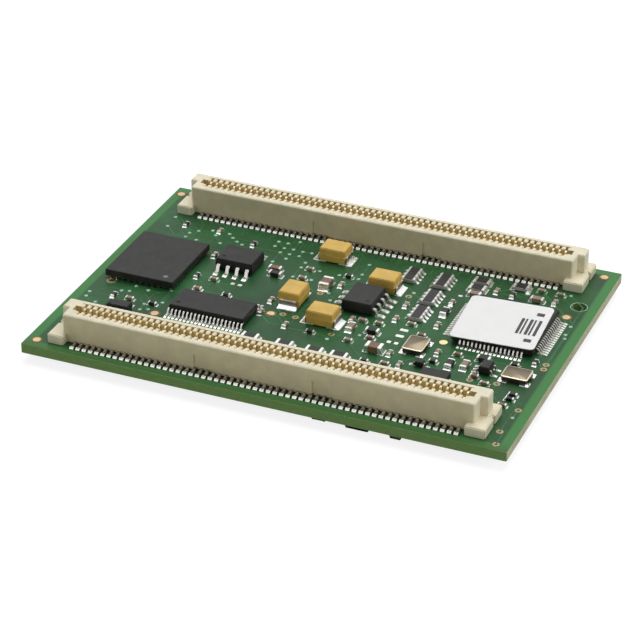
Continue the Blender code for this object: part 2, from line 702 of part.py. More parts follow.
def soldered_box(shape, x, y, size, heights):
    """Add one of the smallest chips, sunk a little into the board that carries it."""
    length, width = size
    low = (x - length / 2, y - width / 2, heights[0])
    high = (x + length / 2, y + width / 2, heights[1])
    add_box(shape, low, high)


def board_mesh():
    """The board, with its mounting hole and the smallest chips soldered to both faces."""
    points = rounded_rectangle(BOARD_LENGTH, BOARD_WIDTH, BOARD_CORNER)
    plate = outline_mesh("board", points, BOARD_THICKNESS)
    plate.transform(Matrix.Translation((0.0, 0.0, BOARD_BOTTOM + BOARD_THICKNESS / 2)))
    hole = bmesh.new()
    hole_x = BOARD_LENGTH / 2 - MOUNTING_HOLE_FROM_RIGHT
    hole_y = BOARD_WIDTH / 2 - MOUNTING_HOLE_FROM_FAR
    bmesh.ops.create_cone(
        hole,
        cap_ends=True,
        segments=HOLE_SIDES,
        radius1=MOUNTING_HOLE_DIAMETER / 2,
        radius2=MOUNTING_HOLE_DIAMETER / 2,
        depth=BOARD_THICKNESS + 2 * CUT_MARGIN,
        matrix=Matrix.Translation((hole_x, hole_y, BOARD_BOTTOM + BOARD_THICKNESS / 2)),
    )
    plate = combined_mesh("board", plate, as_mesh("hole", hole), "DIFFERENCE")
    chips = bmesh.new()
    along_x = (SMALL_CHIP_LENGTH, SMALL_CHIP_WIDTH)
    along_y = (SMALL_CHIP_WIDTH, SMALL_CHIP_LENGTH)
    above = (BOARD_TOP - SOLDER_SINK, BOARD_TOP + SMALL_CHIP_HEIGHT)
    below = (BOARD_BOTTOM - SMALL_CHIP_HEIGHT, BOARD_BOTTOM + SOLDER_SINK)
    for places, size in ((SMALL_CHIP_PLACES_ALONG_X, along_x), (SMALL_CHIP_PLACES_ALONG_Y, along_y)):
        for x, y in places:
            soldered_box(chips, x * STEP_X, y * STEP_Y, size, above)
    for x in UNDER_SMALL_CHIP_COLUMNS:
        for y in UNDER_SMALL_CHIP_ROWS:
            soldered_box(chips, x * STEP_X, y * STEP_Y, along_x, below)
    return combined_mesh("board", plate, as_mesh("chips", chips), "UNION")


def place_connectors():
    """Put the two like connectors near the long edges."""
    mesh = connector_mesh()
    near_y = -BOARD_WIDTH / 2 + NEAR_CONNECTOR_FROM_EDGE
    far_y = BOARD_WIDTH / 2 - FAR_CONNECTOR_FROM_EDGE
    for name, y in (("near_connector", near_y), ("far_connector", far_y)):
        place(name, mesh.copy(), make_material(name, CREAM_PLASTIC), CONNECTOR_X, y)


def place_row(prefix, mesh, places, colour, roughness=0.5, metallic=0.0):
    """Put numbered copies of one component at its places, given in steps."""
    for number, (x, y, turn) in enumerate(places, start=1):
        name = f"{prefix}_{number}" if len(places) > 1 else prefix
        material = make_material(name, colour, roughness, metallic)
        place(name, mesh.copy(), material, x * STEP_X, y * STEP_Y, turn)


def place_controller():
    """Put the chip with leads on all four sides, and the label stuck to its top."""
    x = CONTROLLER_PLACE[0] * STEP_X
    y = CONTROLLER_PLACE[1] * STEP_Y
    black = make_material("controller_chip", BLACK_MOULD)
    place("controller_chip", quad_chip("controller_chip"), black, x, y)
    paper = make_material("controller_label", WHITE_PAPER)
    label_x = x + LABEL_SHIFT[0]
    label_y = y + LABEL_SHIFT[1]
    label_z = TOP_SEAT + QUAD_HEIGHT + SEAT_GAP
    place("controller_label", label_mesh(), paper, label_x, label_y, LABEL_TURN, label_z)


def place_under(name, mesh, colour, x, y, turn=ALONG_X):
    """Put one component under the board, at a place given in steps."""
    material = make_material(name, colour)
    place(name, mesh, material, x * STEP_X, y * STEP_Y, turn, UNDER_SEAT, under=True)


def place_underside():
    """Put the chips under the board; the large ones are of one height and carry the module."""
    big = [("processor_chip", PROCESSOR_SIDE, PROCESSOR_SIDE, PROCESSOR_PLACE)]
    for number, spot in enumerate(RAM_PLACES, start=1):
        big.append((f"ram_chip_{number}", RAM_LENGTH, RAM_WIDTH, spot))
    big.append(("flash_chip", FLASH_LENGTH, FLASH_WIDTH, FLASH_PLACE))
    for name, length, width, (x, y) in big:
        mesh = ball_grid_chip(name, length, width, UNDERSIDE_HEIGHT)
        place_under(name, mesh, BLACK_MOULD, x, y)
    place_under("under_transistor", three_lead_mesh(), BLACK_MOULD, *UNDER_TRANSISTOR_PLACE)
    middle = two_ended_mesh(MID_CHIP_LENGTH, MID_CHIP_WIDTH, MID_CHIP_HEIGHT)
    place_under("under_capacitor_1", middle, BROWN_CERAMIC, *UNDER_MID_CHIP_PLACE)
    large = two_ended_mesh(CHIP_CAP_LENGTH, CHIP_CAP_WIDTH, CHIP_CAP_HEIGHT)
    place_under("under_capacitor_2", large, BROWN_CERAMIC, *UNDER_CHIP_CAP_PLACE)


def place_leaded_chips():
    """Put the moulded chips that have bent leads."""
    body = (FINE_BODY_LENGTH, FINE_BODY_WIDTH)
    lead = (FINE_LEAD_WIDTH, FINE_LEAD_THICKNESS)
    row = row_places(FINE_LEADS, FINE_PITCH)
    fine = two_row_chip("buffer_chip", body, FINE_LEAD_REACH, FINE_HEIGHT, lead, row, row)
    place_row("buffer_chip", fine, ((*FINE_PLACE, ALONG_X),), BLACK_MOULD)
    body = (EIGHT_BODY_LENGTH, EIGHT_BODY_WIDTH)
    lead = (EIGHT_LEAD_WIDTH, EIGHT_LEAD_THICKNESS)
    row = row_places(EIGHT_LEADS, EIGHT_PITCH)
    eight = two_row_chip("driver_chip", body, EIGHT_LEAD_REACH, EIGHT_HEIGHT, lead, row, row)
    place_row("driver_chip", eight, DRIVER_PLACES, BLACK_MOULD)
    body = (SMALL_BODY_LENGTH, SMALL_BODY_WIDTH)
    lead = (SMALL_LEAD_WIDTH, SMALL_LEAD_THICKNESS)
    row = row_places(SMALL_LEADS, SMALL_PITCH)
    six = two_row_chip("switch_chip", body, SMALL_LEAD_REACH, SMALL_HEIGHT, lead, row, row)
    place_row("switch_chip", six, (SIX_LEAD_PLACE,), BLACK_MOULD)
    body = (TINY_BODY_LENGTH, TINY_BODY_WIDTH)
    lead = (TINY_LEAD_WIDTH, TINY_LEAD_THICKNESS)
    near = row_places(TINY_LEADS, TINY_PITCH)
    far = (near[0], near[-1])
    five = two_row_chip("regulator", body, TINY_LEAD_REACH, TINY_HEIGHT, lead, near, far)
    place_row("regulator", five, (REGULATOR_PLACE,), BLACK_MOULD)
    place_row("diode", end_lead_chip("diode"), (DIODE_PLACE,), BLACK_MOULD)


def place_plain_components():
    """Put the capacitors, resistors, crystals and the chips without leads."""
    memory = ball_grid_chip("memory_chip", MEMORY_LENGTH, MEMORY_WIDTH, MEMORY_HEIGHT)
    place_row("memory_chip", memory, ((*MEMORY_PLACE, ALONG_X),), BLACK_MOULD)
    place_row("power_chip", power_chip_mesh(), ((*POWER_PLACE, ALONG_X),), BLACK_MOULD)
    place_row("tantalum_capacitor", tantalum_mesh(), TANTALUM_PLACES, OCHRE_MOULD)
    place_row("crystal", crystal_mesh(), CRYSTAL_PLACES, WARM_STEEL, metallic=0.9)
    array_places = [(x, y, ALONG_Y) for x, y in ARRAY_PLACES]
    place_row("resistor_array", array_mesh(), array_places, DARK_GLAZE)
    cap = two_ended_mesh(CHIP_CAP_LENGTH, CHIP_CAP_WIDTH, CHIP_CAP_HEIGHT)
    place_row("chip_capacitor", cap, CHIP_CAP_PLACES, BROWN_CERAMIC)
    resistor = two_ended_mesh(CHIP_RESISTOR_LENGTH, CHIP_RESISTOR_WIDTH, CHIP_RESISTOR_HEIGHT)
    place_row("chip_resistor", resistor, CHIP_RESISTOR_PLACES, DARK_GLAZE)
    middle = two_ended_mesh(MID_CHIP_LENGTH, MID_CHIP_WIDTH, MID_CHIP_HEIGHT)
    place_row("mid_capacitor", middle, MID_CHIP_PLACES, BROWN_CERAMIC)


def main():
    """Build the whole module."""
    clear_scene()
    make_collection(MODULE)
    make_collection(TOOLS)
    green = make_material("circuit_board", GREEN_MASK, roughness=0.4)
    place("circuit_board", board_mesh(), green, 0.0, 0.0, z=0.0)
    place_connectors()
    place_controller()
    place_leaded_chips()
    place_plain_components()
    place_underside()


main()
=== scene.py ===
"""Looks of the system on module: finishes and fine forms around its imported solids.

Sizes and places are in millimetres in the part's frame, until a piece is made from them.
"""

import math
import random

import bmesh
import bpy
from mathutils import Matrix, Vector


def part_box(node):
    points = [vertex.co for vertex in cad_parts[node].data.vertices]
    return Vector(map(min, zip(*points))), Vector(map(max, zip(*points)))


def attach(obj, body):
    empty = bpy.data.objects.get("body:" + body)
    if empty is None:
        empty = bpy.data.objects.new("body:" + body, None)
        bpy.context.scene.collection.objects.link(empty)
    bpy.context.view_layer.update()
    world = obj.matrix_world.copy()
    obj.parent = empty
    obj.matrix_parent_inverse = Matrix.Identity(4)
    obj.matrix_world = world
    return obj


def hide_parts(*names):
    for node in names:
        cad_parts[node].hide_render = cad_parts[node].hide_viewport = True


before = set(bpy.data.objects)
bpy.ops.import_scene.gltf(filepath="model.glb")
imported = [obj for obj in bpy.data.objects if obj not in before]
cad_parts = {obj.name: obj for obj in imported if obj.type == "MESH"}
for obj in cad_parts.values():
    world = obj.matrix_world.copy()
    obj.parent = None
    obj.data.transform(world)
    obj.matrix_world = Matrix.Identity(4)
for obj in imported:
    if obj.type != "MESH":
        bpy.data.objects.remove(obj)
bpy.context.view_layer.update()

MM = 0.001
BODY = "root"
SMOOTH_ANGLE = math.radians(38)

# Camera at the photograph's view
CAMERA_PLACE = (98.22, -236.43, 150.42)
CAMERA_TARGET = (0.18, -3.03, 2.42)
CAMERA_ROLL = math.radians(-0.05)
CAMERA_LENS = 140.1
CAMERA_SENSOR = 36.0

# Soft square lamps: name, place and size in metres, and power
LAMPS = (
    ("top_lamp", (0.0, 0.2, 0.6), 0.5, 2.8),
    ("right_lamp", (0.6, 0.1, 0.3), 0.35, 1.0),
    ("left_lamp", (-0.35, -0.5, 0.3), 0.4, 0.5),
)
SURROUND_LIGHT = 0.22
FLOOR_SHADE = 0.3
FLOOR_GLOW = 0.84
FLOOR_BOUNCE = (0.65, 0.64, 0.6)
FLOOR_HALF = 3000.0
WHITE = (1.0, 1.0, 1.0)

# Turns about Z for copies that stand opposite each other, or on all four sides
BOTH_WAYS = (0.0, math.pi)
NEAR_AND_FAR = (-math.pi / 2, math.pi / 2)
FOUR_SIDES = (0.0, math.pi / 2, math.pi, math.pi * 3 / 2)

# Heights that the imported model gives, and its board
SEAT_GAP = 0.02
BOARD_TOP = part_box("memory_chip")[0].z / MM - SEAT_GAP
BOARD_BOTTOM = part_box("processor_chip")[1].z / MM + SEAT_GAP
BOARD_HALF_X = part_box("circuit_board")[1].x / MM
BOARD_HALF_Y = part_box("circuit_board")[1].y / MM
BOARD_CORNER = 0.15
MOUNTING_HOLE = (27.4, 11.6)
MOUNTING_HOLE_RADIUS = 0.95
BORDER_INNER = 1.35
BORDER_OUTER = 1.0
OLIVE_STRIP = 1.9

# Connectors, about their own middle and seat
CONTACTS = 60
CONTACT_PITCH = 0.8
HOUSING_HALF_X = 25.3
HOUSING_KEY = 0.85
HOUSING_HALF_Y = 1.94
HOUSING_LIFT = 0.08
HOUSING_TOP = 3.6
HOUSING_ROUND = 0.26
HOUSING_CORNER = 0.32
RECESS_DEPTH = 0.22
RECESS_TOP = 2.1
RECESS_HALF = 1.25
WELL_HALF_X = 24.1
WELL_HALF_Y = 1.26
WELL_FLOOR = 1.25
WELL_OPEN = 5.0
RIB_WIDTH = 0.5
RIB_TOP = 3.56
CHANNEL_HALF_X = 24.65
CHANNEL_HALF = 0.5
FOOT_INNER = (24.82, 24.42)
FOOT_OUTER = 26.85
FOOT_HALF_Y = 2.9
FOOT_TOP = 1.15
NOTCH = (0.0, 0.45)
NOTCH_DEPTH = 0.3
RECESSES = (-7.35, 7.25)
TAIL_WIDTH = 0.32
TAIL_TIP = 3.1

# Leaded chips: length, width, height, leads near and far, pitch, reach, lead width and thickness
FINE_CHIP = (9.7, 4.4, 1.1, 20, 20, 0.5, 1.05, 0.22, 0.13)
EIGHT_CHIP = (4.9, 3.9, 1.55, 4, 4, 1.27, 1.15, 0.46, 0.2)
SIX_CHIP = (2.9, 1.5, 1.0, 3, 3, 0.95, 0.55, 0.4, 0.13)
THREE_CHIP = (2.9, 1.5, 1.15, 2, 1, 1.9, 0.55, 0.4, 0.13)
FIVE_CHIP = (2.0, 1.4, 1.05, 3, 2, 0.65, 0.5, 0.25, 0.12)
QUAD_HALF = 5.0
QUAD_HEIGHT = 1.1
QUAD_LEADS = 16
QUAD_PITCH = 0.5
QUAD_REACH = 1.0
STANDOFF = 0.1
DRAFT = 0.12
BALL_PITCH = 0.8
BALL_RADIUS = 0.22
BALL_RINGS = 3
POWER_CHIP_HALF = 1.65
POWER_CHIP_HEIGHT = 0.9

# Chip sizes: length, width, height
CHIP_0805 = (2.0, 1.25, 0.5)
CAP_0805 = (2.0, 1.25, 0.9)
CHIP_0603 = (1.6, 0.8, 0.6)
CHIP_0402 = (1.0, 0.5, 0.42)
TANTALUM = (3.46, 2.76, 1.9)
CRYSTAL = (3.2, 2.5, 0.72)
ARRAY = (3.2, 1.6, 0.55)
DIODE = (1.1, 0.85, 0.7)

# Label: its length, width and round corners, how far it is off the chip's middle, and its turn
LABEL = (10.1, 10.05)
LABEL_CORNER = 0.6
LABEL_SHIFT = 0.17
LABEL_TURN = math.radians(3.5)

# Chips soldered straight to the board, by the way that they lie
CHIPS_ALONG_X = (
    (-22.65, -7.3), (-19.6, -7.4), (-15.3, 0.8), (-16.2, -2.0), (-12.35, -2.1), (0.25, -6.2),
    (-5.55, 7.6), (-5.55, 5.2), (-0.5, 7.7), (4.95, -1.4), (7.0, -1.35), (7.24, -4.8),
    (5.1, -6.3), (10.6, 0.0), (10.9, -9.5), (12.55, -2.0), (15.85, -7.0), (17.95, -4.4),
    (24.75, -4.15), (22.85, -9.2), (26.6, -10.3), (26.55, -11.3), (26.2, -12.8),
    (24.6, 13.3), (22.2, 13.3), (8.5, -9.85), (21.3, -8.15),
)
CHIPS_ALONG_Y = (
    (-24.8, -7.3), (-24.45, 12.2), (-19.8, 12.3), (-14.5, 10.7), (-17.8, 6.3), (-17.6, 0.8),
    (-3.05, -5.9), (-6.9, -1.2), (-6.95, -4.25), (-0.6, 5.4), (3.7, -1.7), (8.4, 0.4),
    (8.35, 3.85), (10.6, -7.2), (12.5, -9.1), (13.2, 6.5), (13.45, 0.9), (15.65, -4.95),
    (26.75, -2.75), (17.2, 11.2), (19.3, 11.0), (24.5, 11.2),
)
CHIP_FINISHES = {
    (4.95, -1.4): "tan", (7.0, -1.35): "tan", (7.24, -4.8): "tan", (10.6, -7.2): "tan",
    (10.9, -9.5): "tan", (15.65, -4.95): "tan", (15.85, -7.0): "glaze", (17.95, -4.4): "brown",
    (22.85, -9.2): "tan", (26.6, -10.3): "glaze", (26.55, -11.3): "glaze", (26.2, -12.8): "brown",
    (8.5, -9.85): "glaze", (21.3, -8.15): "brown", (12.5, -9.1): "tan", (12.55, -2.0): "brown",
    (8.4, 0.4): "tan", (13.45, 0.9): "tan",
}
DARK_CHIPS = {2: "glaze", 4: "glaze", 5: "glaze", 8: "brown", 9: "glaze", 10: "glaze"}
UNDER_CHIP_COLUMNS = (-15.0, -12.0, -9.0, -6.0, -3.0)
UNDER_CHIP_ROWS = (-11.2, 11.2)

# Bare metal on the component side
COPPER_DOTS = (
    (28.04, 19.74), (-28.44, -19.86), (-28.73, 19.72), (26.75, 8.75), (-5.8, -3.87), (-18.5, -9.1),
)
GOLD_DOT = (15.4, -2.3)
RING_VIAS = (
    (27.68, -17.77), (28.13, -20.33), (28.15, -12.9), (27.95, -2.47),
    (28.0, -3.53), (24.1, -8.55), (21.0, -8.9), (-4.38, -3.5), (-2.72, -3.6),
    (-2.25, 2.83), (7.83, 6.17), (2.7, -5.6),
)
WIDE_VIA = (-26.75, -4.0)
BARE_PADS = (
    (10.2, -1.45, 1.0, 0.5), (10.2, -2.9, 1.0, 0.5), (9.5, -4.6, 0.5, 0.5), (10.4, -4.6, 0.5, 0.5),
    (20.8, 12.25, 0.6, 0.35), (13.5, 8.7, 0.5, 0.35), (-12.9, 0.9, 0.5, 0.45), (-11.95, 0.9, 0.5, 0.45),
)
FILLED_VIAS = (
    (-23.4, -4.1), (-21.6, -4.5), (-23.6, -5.5), (-24.55, -5.75), (-28.0, -7.4), (-27.9, -8.5),
    (-26.2, -9.4), (-19.0, -3.5), (-18.7, -6.5), (-20.6, -7.6), (-20.5, -9.0), (-19.6, -8.6),
    (-26.7, 13.75), (-26.6, 11.2), (-22.4, 11.5), (-20.8, 12.25), (-23.25, 10.6), (-23.3, 9.5),
    (-21.7, 9.25), (-18.5, 12.25), (-17.7, 11.5), (-16.8, 10.75), (-15.9, 10.3), (-18.6, 9.6),
    (-19.95, 11.25), (-9.5, 13.7), (-12.0, 12.8), (-10.75, 12.8), (-12.0, 11.55), (-10.7, 11.5),
    (-9.5, 11.6), (-8.2, 11.5), (-7.05, 11.6), (-10.75, 10.3), (-9.5, 10.3), (-8.2, 10.3),
    (-9.45, 9.1), (-6.85, 9.1), (-10.7, 7.8), (-6.85, 7.8), (-4.4, 7.8), (-1.8, 7.8),
    (-4.5, 5.4), (-6.9, 5.3), (0.6, 11.6), (0.7, 9.0), (0.7, 7.8), (-1.3, 3.2), (-0.5, 1.7),
    (2.6, -6.75), (5.8, -4.5), (8.1, 7.2), (25.7, 13.8), (27.9, 6.8), (27.9, 4.8), (28.1, 3.9),
    (28.05, -14.6),
)
TURNED = {
    "driver_chip_2", "tantalum_capacitor_2", "crystal_1", "chip_capacitor_2",
    "resistor_array_1", "resistor_array_2", "resistor_array_3", "resistor_array_4",
    "mid_capacitor_1", "mid_capacitor_2", "mid_capacitor_3", "mid_capacitor_5", "under_capacitor_2",
}


# Finishes

FINISH = {}


def set_inputs(tree, node, inputs):
    """Set a node's inputs: an output of another node is linked, a colour or a number is set."""
    for name, value in inputs.items():
        if isinstance(value, bpy.types.NodeSocket):
            tree.links.new(value, node.inputs[name])
        else:
            node.inputs[name].default_value = (*value, 1.0) if isinstance(value, tuple) else value
    return node


def add_node(tree, kind, inputs):
    """Add a shader node with its inputs set."""
    return set_inputs(tree, tree.nodes.new(f"ShaderNode{kind}"), inputs)


def add_place(tree):
    """Places in the part's own frame."""
    return add_node(tree, "TexCoord", {}).outputs["Object"]


def add_noise(tree, scale, detail=3.0):
    """Add a noise texture; the scale is in features per metre."""
    inputs = {"Vector": add_place(tree), "Scale": scale, "Detail": detail, "Roughness": 0.55}
    return add_node(tree, "TexNoise", inputs).outputs["Fac"]


def add_ramp(tree, factor, stops):
    """Add a colour ramp with two (position, colour) stops."""
    ramp = add_node(tree, "ValToRGB", {"Fac": factor})
    for element, (position, colour) in zip(ramp.color_ramp.elements, stops):
        element.position = position
        element.color = (*colour, 1.0)
    return ramp.outputs["Color"]


def add_range(tree, value, low, high, new_low, new_high):
    """Add a clamped map from one range of values to another."""
    inputs = {"Value": value, "From Min": low, "From Max": high, "To Min": new_low, "To Max": new_high}
    return add_node(tree, "MapRange", inputs).outputs["Result"]


def add_bump(tree, height, distance, strength=1.0):
    """Add a bump of a height field; the distance is in millimetres."""
    inputs = {"Height": height, "Distance": distance * MM, "Strength": strength}
    return add_node(tree, "Bump", inputs).outputs["Normal"]


def add_mix(tree, factor, first, second):
    """Mix two colours, each a socket or a plain colour."""
    mix = tree.nodes.new("ShaderNodeMix")
    mix.data_type = "RGBA"
    return set_inputs(tree, mix, {"Factor": factor, "A": first, "B": second}).outputs["Result"]


def add_math(tree, operation, *values):
    """Add a sum of one or two values."""
    node = add_node(tree, "Math", dict(enumerate(values)))
    node.operation = operation
    return node.outputs["Value"]


def scaled(colour, factor):
    """A colour made lighter or darker."""
    return tuple(min(1.0, channel * factor) for channel in colour)


def new_finish(name, colour):
    """Start a finish: returns its node tree and its shader."""
    material = bpy.data.materials.new(name)
    material.use_nodes = True
    material.diffuse_color = (*colour, 1.0)
    FINISH[name] = material
    return material.node_tree, material.node_tree.nodes["Principled BSDF"]


def add_finish(name, colour, roughness, metallic=0.0, shade=0.12, grain=6000, bump=0.004, specular=0.5):
    """Add a finish with broad colour changes, and fine grain in its gloss and its height."""
    tree, shader = new_finish(name, colour)
    broad, fine = add_noise(tree, grain / 10), add_noise(tree, grain, 2.0)
    stops = ((0.3, scaled(colour, 1 - shade)), (0.7, scaled(colour, 1 + shade)))
    set_inputs(tree, shader, {
        "Metallic": metallic,
        "Specular IOR Level": specular,
        "Base Color": add_ramp(tree, broad, stops),
        "Roughness": add_range(tree, fine, 0.3, 0.7, roughness - 0.08, roughness + 0.08),
        "Normal": add_bump(tree, fine, bump),
    })


def add_mask_finish():
    """Green solder mask: copper areas under it, a paler border, and a faint weave of the laminate."""
    tree, shader = new_finish("mask", (0.03, 0.2, 0.07))
    place = add_place(tree)
    greens = ((0.35, (0.014, 0.06, 0.019)), (0.65, (0.027, 0.124, 0.037)))
    green = add_ramp(tree, add_noise(tree, 140.0, 4.0), greens)
    cells = add_node(tree, "TexVoronoi", {"Vector": place, "Scale": 260.0})
    cells.distance = "CHEBYCHEV"
    parts = add_node(tree, "SeparateColor", {"Color": cells.outputs["Color"]})
    area = add_range(tree, parts.outputs["Red"], 0.35, 0.36, 0.0, 0.4)
    green = add_mix(tree, area, green, (0.02, 0.07, 0.026))
    border, near = add_border(tree, place)
    green = add_mix(tree, border, green, (0.05, 0.21, 0.055))
    green = add_mix(tree, near, green, (0.052, 0.135, 0.036))
    weave = add_node(tree, "TexWave", {"Vector": place, "Scale": 700.0, "Distortion": 1.5})
    set_inputs(tree, shader, {
        "Specular IOR Level": 0.2,
        "Base Color": green,
        "Roughness": add_range(tree, add_noise(tree, 5000.0, 2.0), 0.3, 0.7, 0.3, 0.42),
        "Normal": add_bump(tree, weave.outputs["Fac"], 0.004, 0.6),
    })


def add_border(tree, place):
    """Two shares: of the strip without copper along the edges, and of the olive near edge."""
    axes = add_node(tree, "SeparateXYZ", {"Vector": place}).outputs
    inward = []
    for axis, half in (("X", BOARD_HALF_X), ("Y", BOARD_HALF_Y)):
        size = add_math(tree, "ABSOLUTE", axes[axis])
        inward.append(add_range(tree, size, (half - BORDER_INNER) * MM, (half - BORDER_OUTER) * MM, 0, 1))
    near = add_range(tree, axes["Y"], -BOARD_HALF_Y * MM, (OLIVE_STRIP - BOARD_HALF_Y) * MM, 1, 0)
    return add_math(tree, "MAXIMUM", *inward), near


def add_edge_finish():
    """Cut edge of the board: olive laminate with thin layers of glass cloth."""
    tree, shader = new_finish("edge", (0.2, 0.24, 0.08))
    layers = add_node(tree, "TexWave", {"Vector": add_place(tree), "Scale": 1500.0, "Distortion": 2.0})
    layers.bands_direction = "Z"
    olives = ((0.2, (0.12, 0.22, 0.055)), (0.8, (0.18, 0.29, 0.085)))
    olive = add_ramp(tree, layers.outputs["Fac"], olives)
    fuzz = add_noise(tree, 2500.0, 4.0)
    set_inputs(tree, shader, {
        "Roughness": 0.7,
        "Base Color": add_mix(tree, add_range(tree, fuzz, 0.4, 0.62, 0.0, 0.75), olive, (0.1, 0.25, 0.065)),
        "Normal": add_bump(tree, fuzz, 0.02),
    })


add_mask_finish()
add_edge_finish()
# A paler copy of the board edge: painted light on the board's ends across X.
add_finish("edge_end_painted_light", (0.5, 0.5, 0.34), 0.7, shade=0.2, grain=2500, bump=0.015)
add_finish("trace", (0.033, 0.14, 0.046), 0.32, shade=0.15, bump=0.002, specular=0.2)
add_finish("filled_via", (0.34, 0.55, 0.4), 0.35, shade=0.2)
add_finish("cream", (0.83, 0.77, 0.58), 0.5, shade=0.05, grain=7000, specular=0.4)
# A darker copy of cream: painted shade for the housing's long sides and recess floors.
add_finish("cream_side_painted_shade", (0.68, 0.61, 0.4), 0.6, shade=0.06, grain=7000, specular=0.3)
# A darker, golden cream: painted shade and a painted reflection of the gold contacts, for the well, the
# channel and the rib sides.
add_finish("cream_deep_painted_shade_and_reflection", (0.68, 0.54, 0.26), 0.5, shade=0.1, grain=7000)
add_finish("gold", (0.82, 0.69, 0.4), 0.5, 0.4, shade=0.1, grain=9000)
add_finish("tin", (0.86, 0.86, 0.84), 0.28, 1.0, shade=0.08, grain=5000)
add_finish("lead", (0.44, 0.42, 0.4), 0.32, 1.0, shade=0.1)
# Dark metal: painted shade and a painted reflection of dark surroundings, used on the connector tails, the
# tantalum tabs and the underside chips' ends.
add_finish("tail", (0.3, 0.28, 0.23), 0.42, 1.0, shade=0.2)
# Near-black green: painted shade under and between the connector tails.
add_finish("tail_strip_painted_shade", (0.008, 0.02, 0.007), 0.6, shade=0.3, specular=0.2)
add_finish("solder", (0.88, 0.88, 0.87), 0.3, 1.0, shade=0.1, grain=4000, bump=0.01)
add_finish("toe", (0.6, 0.62, 0.57), 0.42, 1.0, shade=0.15, grain=4000)
add_finish("mould", (0.015, 0.015, 0.014), 0.5, shade=0.3, grain=9000, bump=0.008, specular=0.27)
add_finish("glaze", (0.02, 0.018, 0.018), 0.34, shade=0.3, specular=0.3)
add_finish("alumina", (0.46, 0.44, 0.42), 0.5, shade=0.05)
add_finish("tan", (0.3, 0.22, 0.16), 0.5, specular=0.4)
add_finish("brown", (0.2, 0.12, 0.07), 0.5, shade=0.15, specular=0.4)
add_finish("ochre", (0.68, 0.44, 0.1), 0.45, grain=5000, bump=0.006, specular=0.4)
add_finish("paper", (0.88, 0.88, 0.87), 0.55, shade=0.02, grain=4000)
add_finish("ink", (0.02, 0.02, 0.022), 0.5, shade=0.2)
add_finish("print", (0.2, 0.19, 0.18), 0.6, shade=0.2)
add_finish("lid", (0.205, 0.17, 0.12), 0.42, 1.0, shade=0.08, grain=9000)
add_finish("lid_rim", (0.62, 0.55, 0.42), 0.35, 1.0, shade=0.08, grain=9000)
add_finish("base", (0.02, 0.014, 0.01), 0.5, shade=0.2, specular=0.3)
add_finish("copper", (0.6, 0.42, 0.24), 0.4, 1.0)
add_finish("pale_gold", (0.74, 0.66, 0.34), 0.35, 1.0, shade=0.08)
add_finish("ring", (0.34, 0.26, 0.14), 0.45, 0.6, shade=0.15)
# Near-black: painted shade standing in for open holes.
add_finish("hole", (0.02, 0.012, 0.01), 0.6, shade=0.3)
add_finish("bare", (0.13, 0.11, 0.03), 0.6, shade=0.3, specular=0.3)


# Mesh tools, in millimetres

def paint(shape, verts, finish):
    """Give the faces of these vertices a finish, by its place in the piece's list."""
    for face in {face for vert in verts for face in vert.link_faces}:
        face.material_index = finish


def add_box(shape, low, high, edge=0.0, finish=0, steps=2):
    """Add a box between two corners, its edges rounded where an edge size is given."""
    size = [top - bottom for bottom, top in zip(low, high)]
    middle = [(top + bottom) / 2 for bottom, top in zip(low, high)]
    matrix = Matrix.Translation(middle) @ Matrix.Diagonal((*size, 1.0))
    verts = bmesh.ops.create_cube(shape, size=1.0, matrix=matrix)["verts"]
    paint(shape, verts, finish)
    if edge:
        edges = list(dict.fromkeys(item for vert in verts for item in vert.link_edges))
        bmesh.ops.bevel(
            shape, geom=edges, offset=edge, segments=steps, affect="EDGES", material=finish
        )


def add_block(shape, half_x, half_y, low, high, edge=0.0, finish=0, steps=2):
    """Add a box that is centred in plan."""
    add_box(shape, (-half_x, -half_y, low), (half_x, half_y, high), edge, finish, steps)


def add_prism(shape, outline, low, high, finish=0, turn=None):
    """Add a flat outline extruded from one height to another; a turn moves it afterwards."""
    verts = [shape.verts.new((x, y, low)) for x, y in outline]
    face = shape.faces.new(verts)
    made = bmesh.ops.extrude_face_region(shape, geom=[face], use_keep_orig=True)["geom"]
    raised = [item for item in made if isinstance(item, bmesh.types.BMVert)]
    bmesh.ops.translate(shape, verts=raised, vec=(0.0, 0.0, high - low))
    paint(shape, verts + raised, finish)
    if turn is not None:
        bmesh.ops.transform(shape, matrix=turn, verts=verts + raised)
    return verts + raised


def add_profile(shape, outline, half, finish=0):
    """Add an outline in the XZ plane, extruded to both sides along Y."""
    return add_prism(shape, outline, -half, half, finish, Matrix.Rotation(math.pi / 2, 4, "X"))


def around(centre, radius, angle):
    """A point on a circle."""
    return centre[0] + radius * math.cos(angle), centre[1] + radius * math.sin(angle)


def add_lathe(shape, outline, place, steps, finish=0):
    """Add a closed outline of (radius, height) turned about Z at a place."""
    rings = []
    for radius, height in outline:
        angles = [step / steps * math.tau for step in range(steps)]
        if radius == 0:
            rings.append([shape.verts.new((*place, height))] * steps)
        else:
            rings.append([shape.verts.new((*around(place, radius, angle), height)) for angle in angles])
    joined = list(zip(rings, rings[1:]))
    if outline[0][0] > 0:
        joined.append((rings[-1], rings[0]))
    for first, second in joined:
        for step in range(steps):
            after = (step + 1) % steps
            corners = (first[step], first[after], second[after], second[step])
            face = shape.faces.new(list(dict.fromkeys(corners)))
            face.material_index = finish


def add_disc(shape, place, radius, low, high, finish, steps):
    """Add a low round pad."""
    add_lathe(shape, ((0, low), (radius, low), (radius, high), (0, high)), place, steps, finish)


def add_ring(shape, place, inner, outer, low, high, finish, steps):
    """Add a flat ring."""
    outline = ((outer, low), (outer, high), (inner, high), (inner, low))
    add_lathe(shape, outline, place, steps, finish)


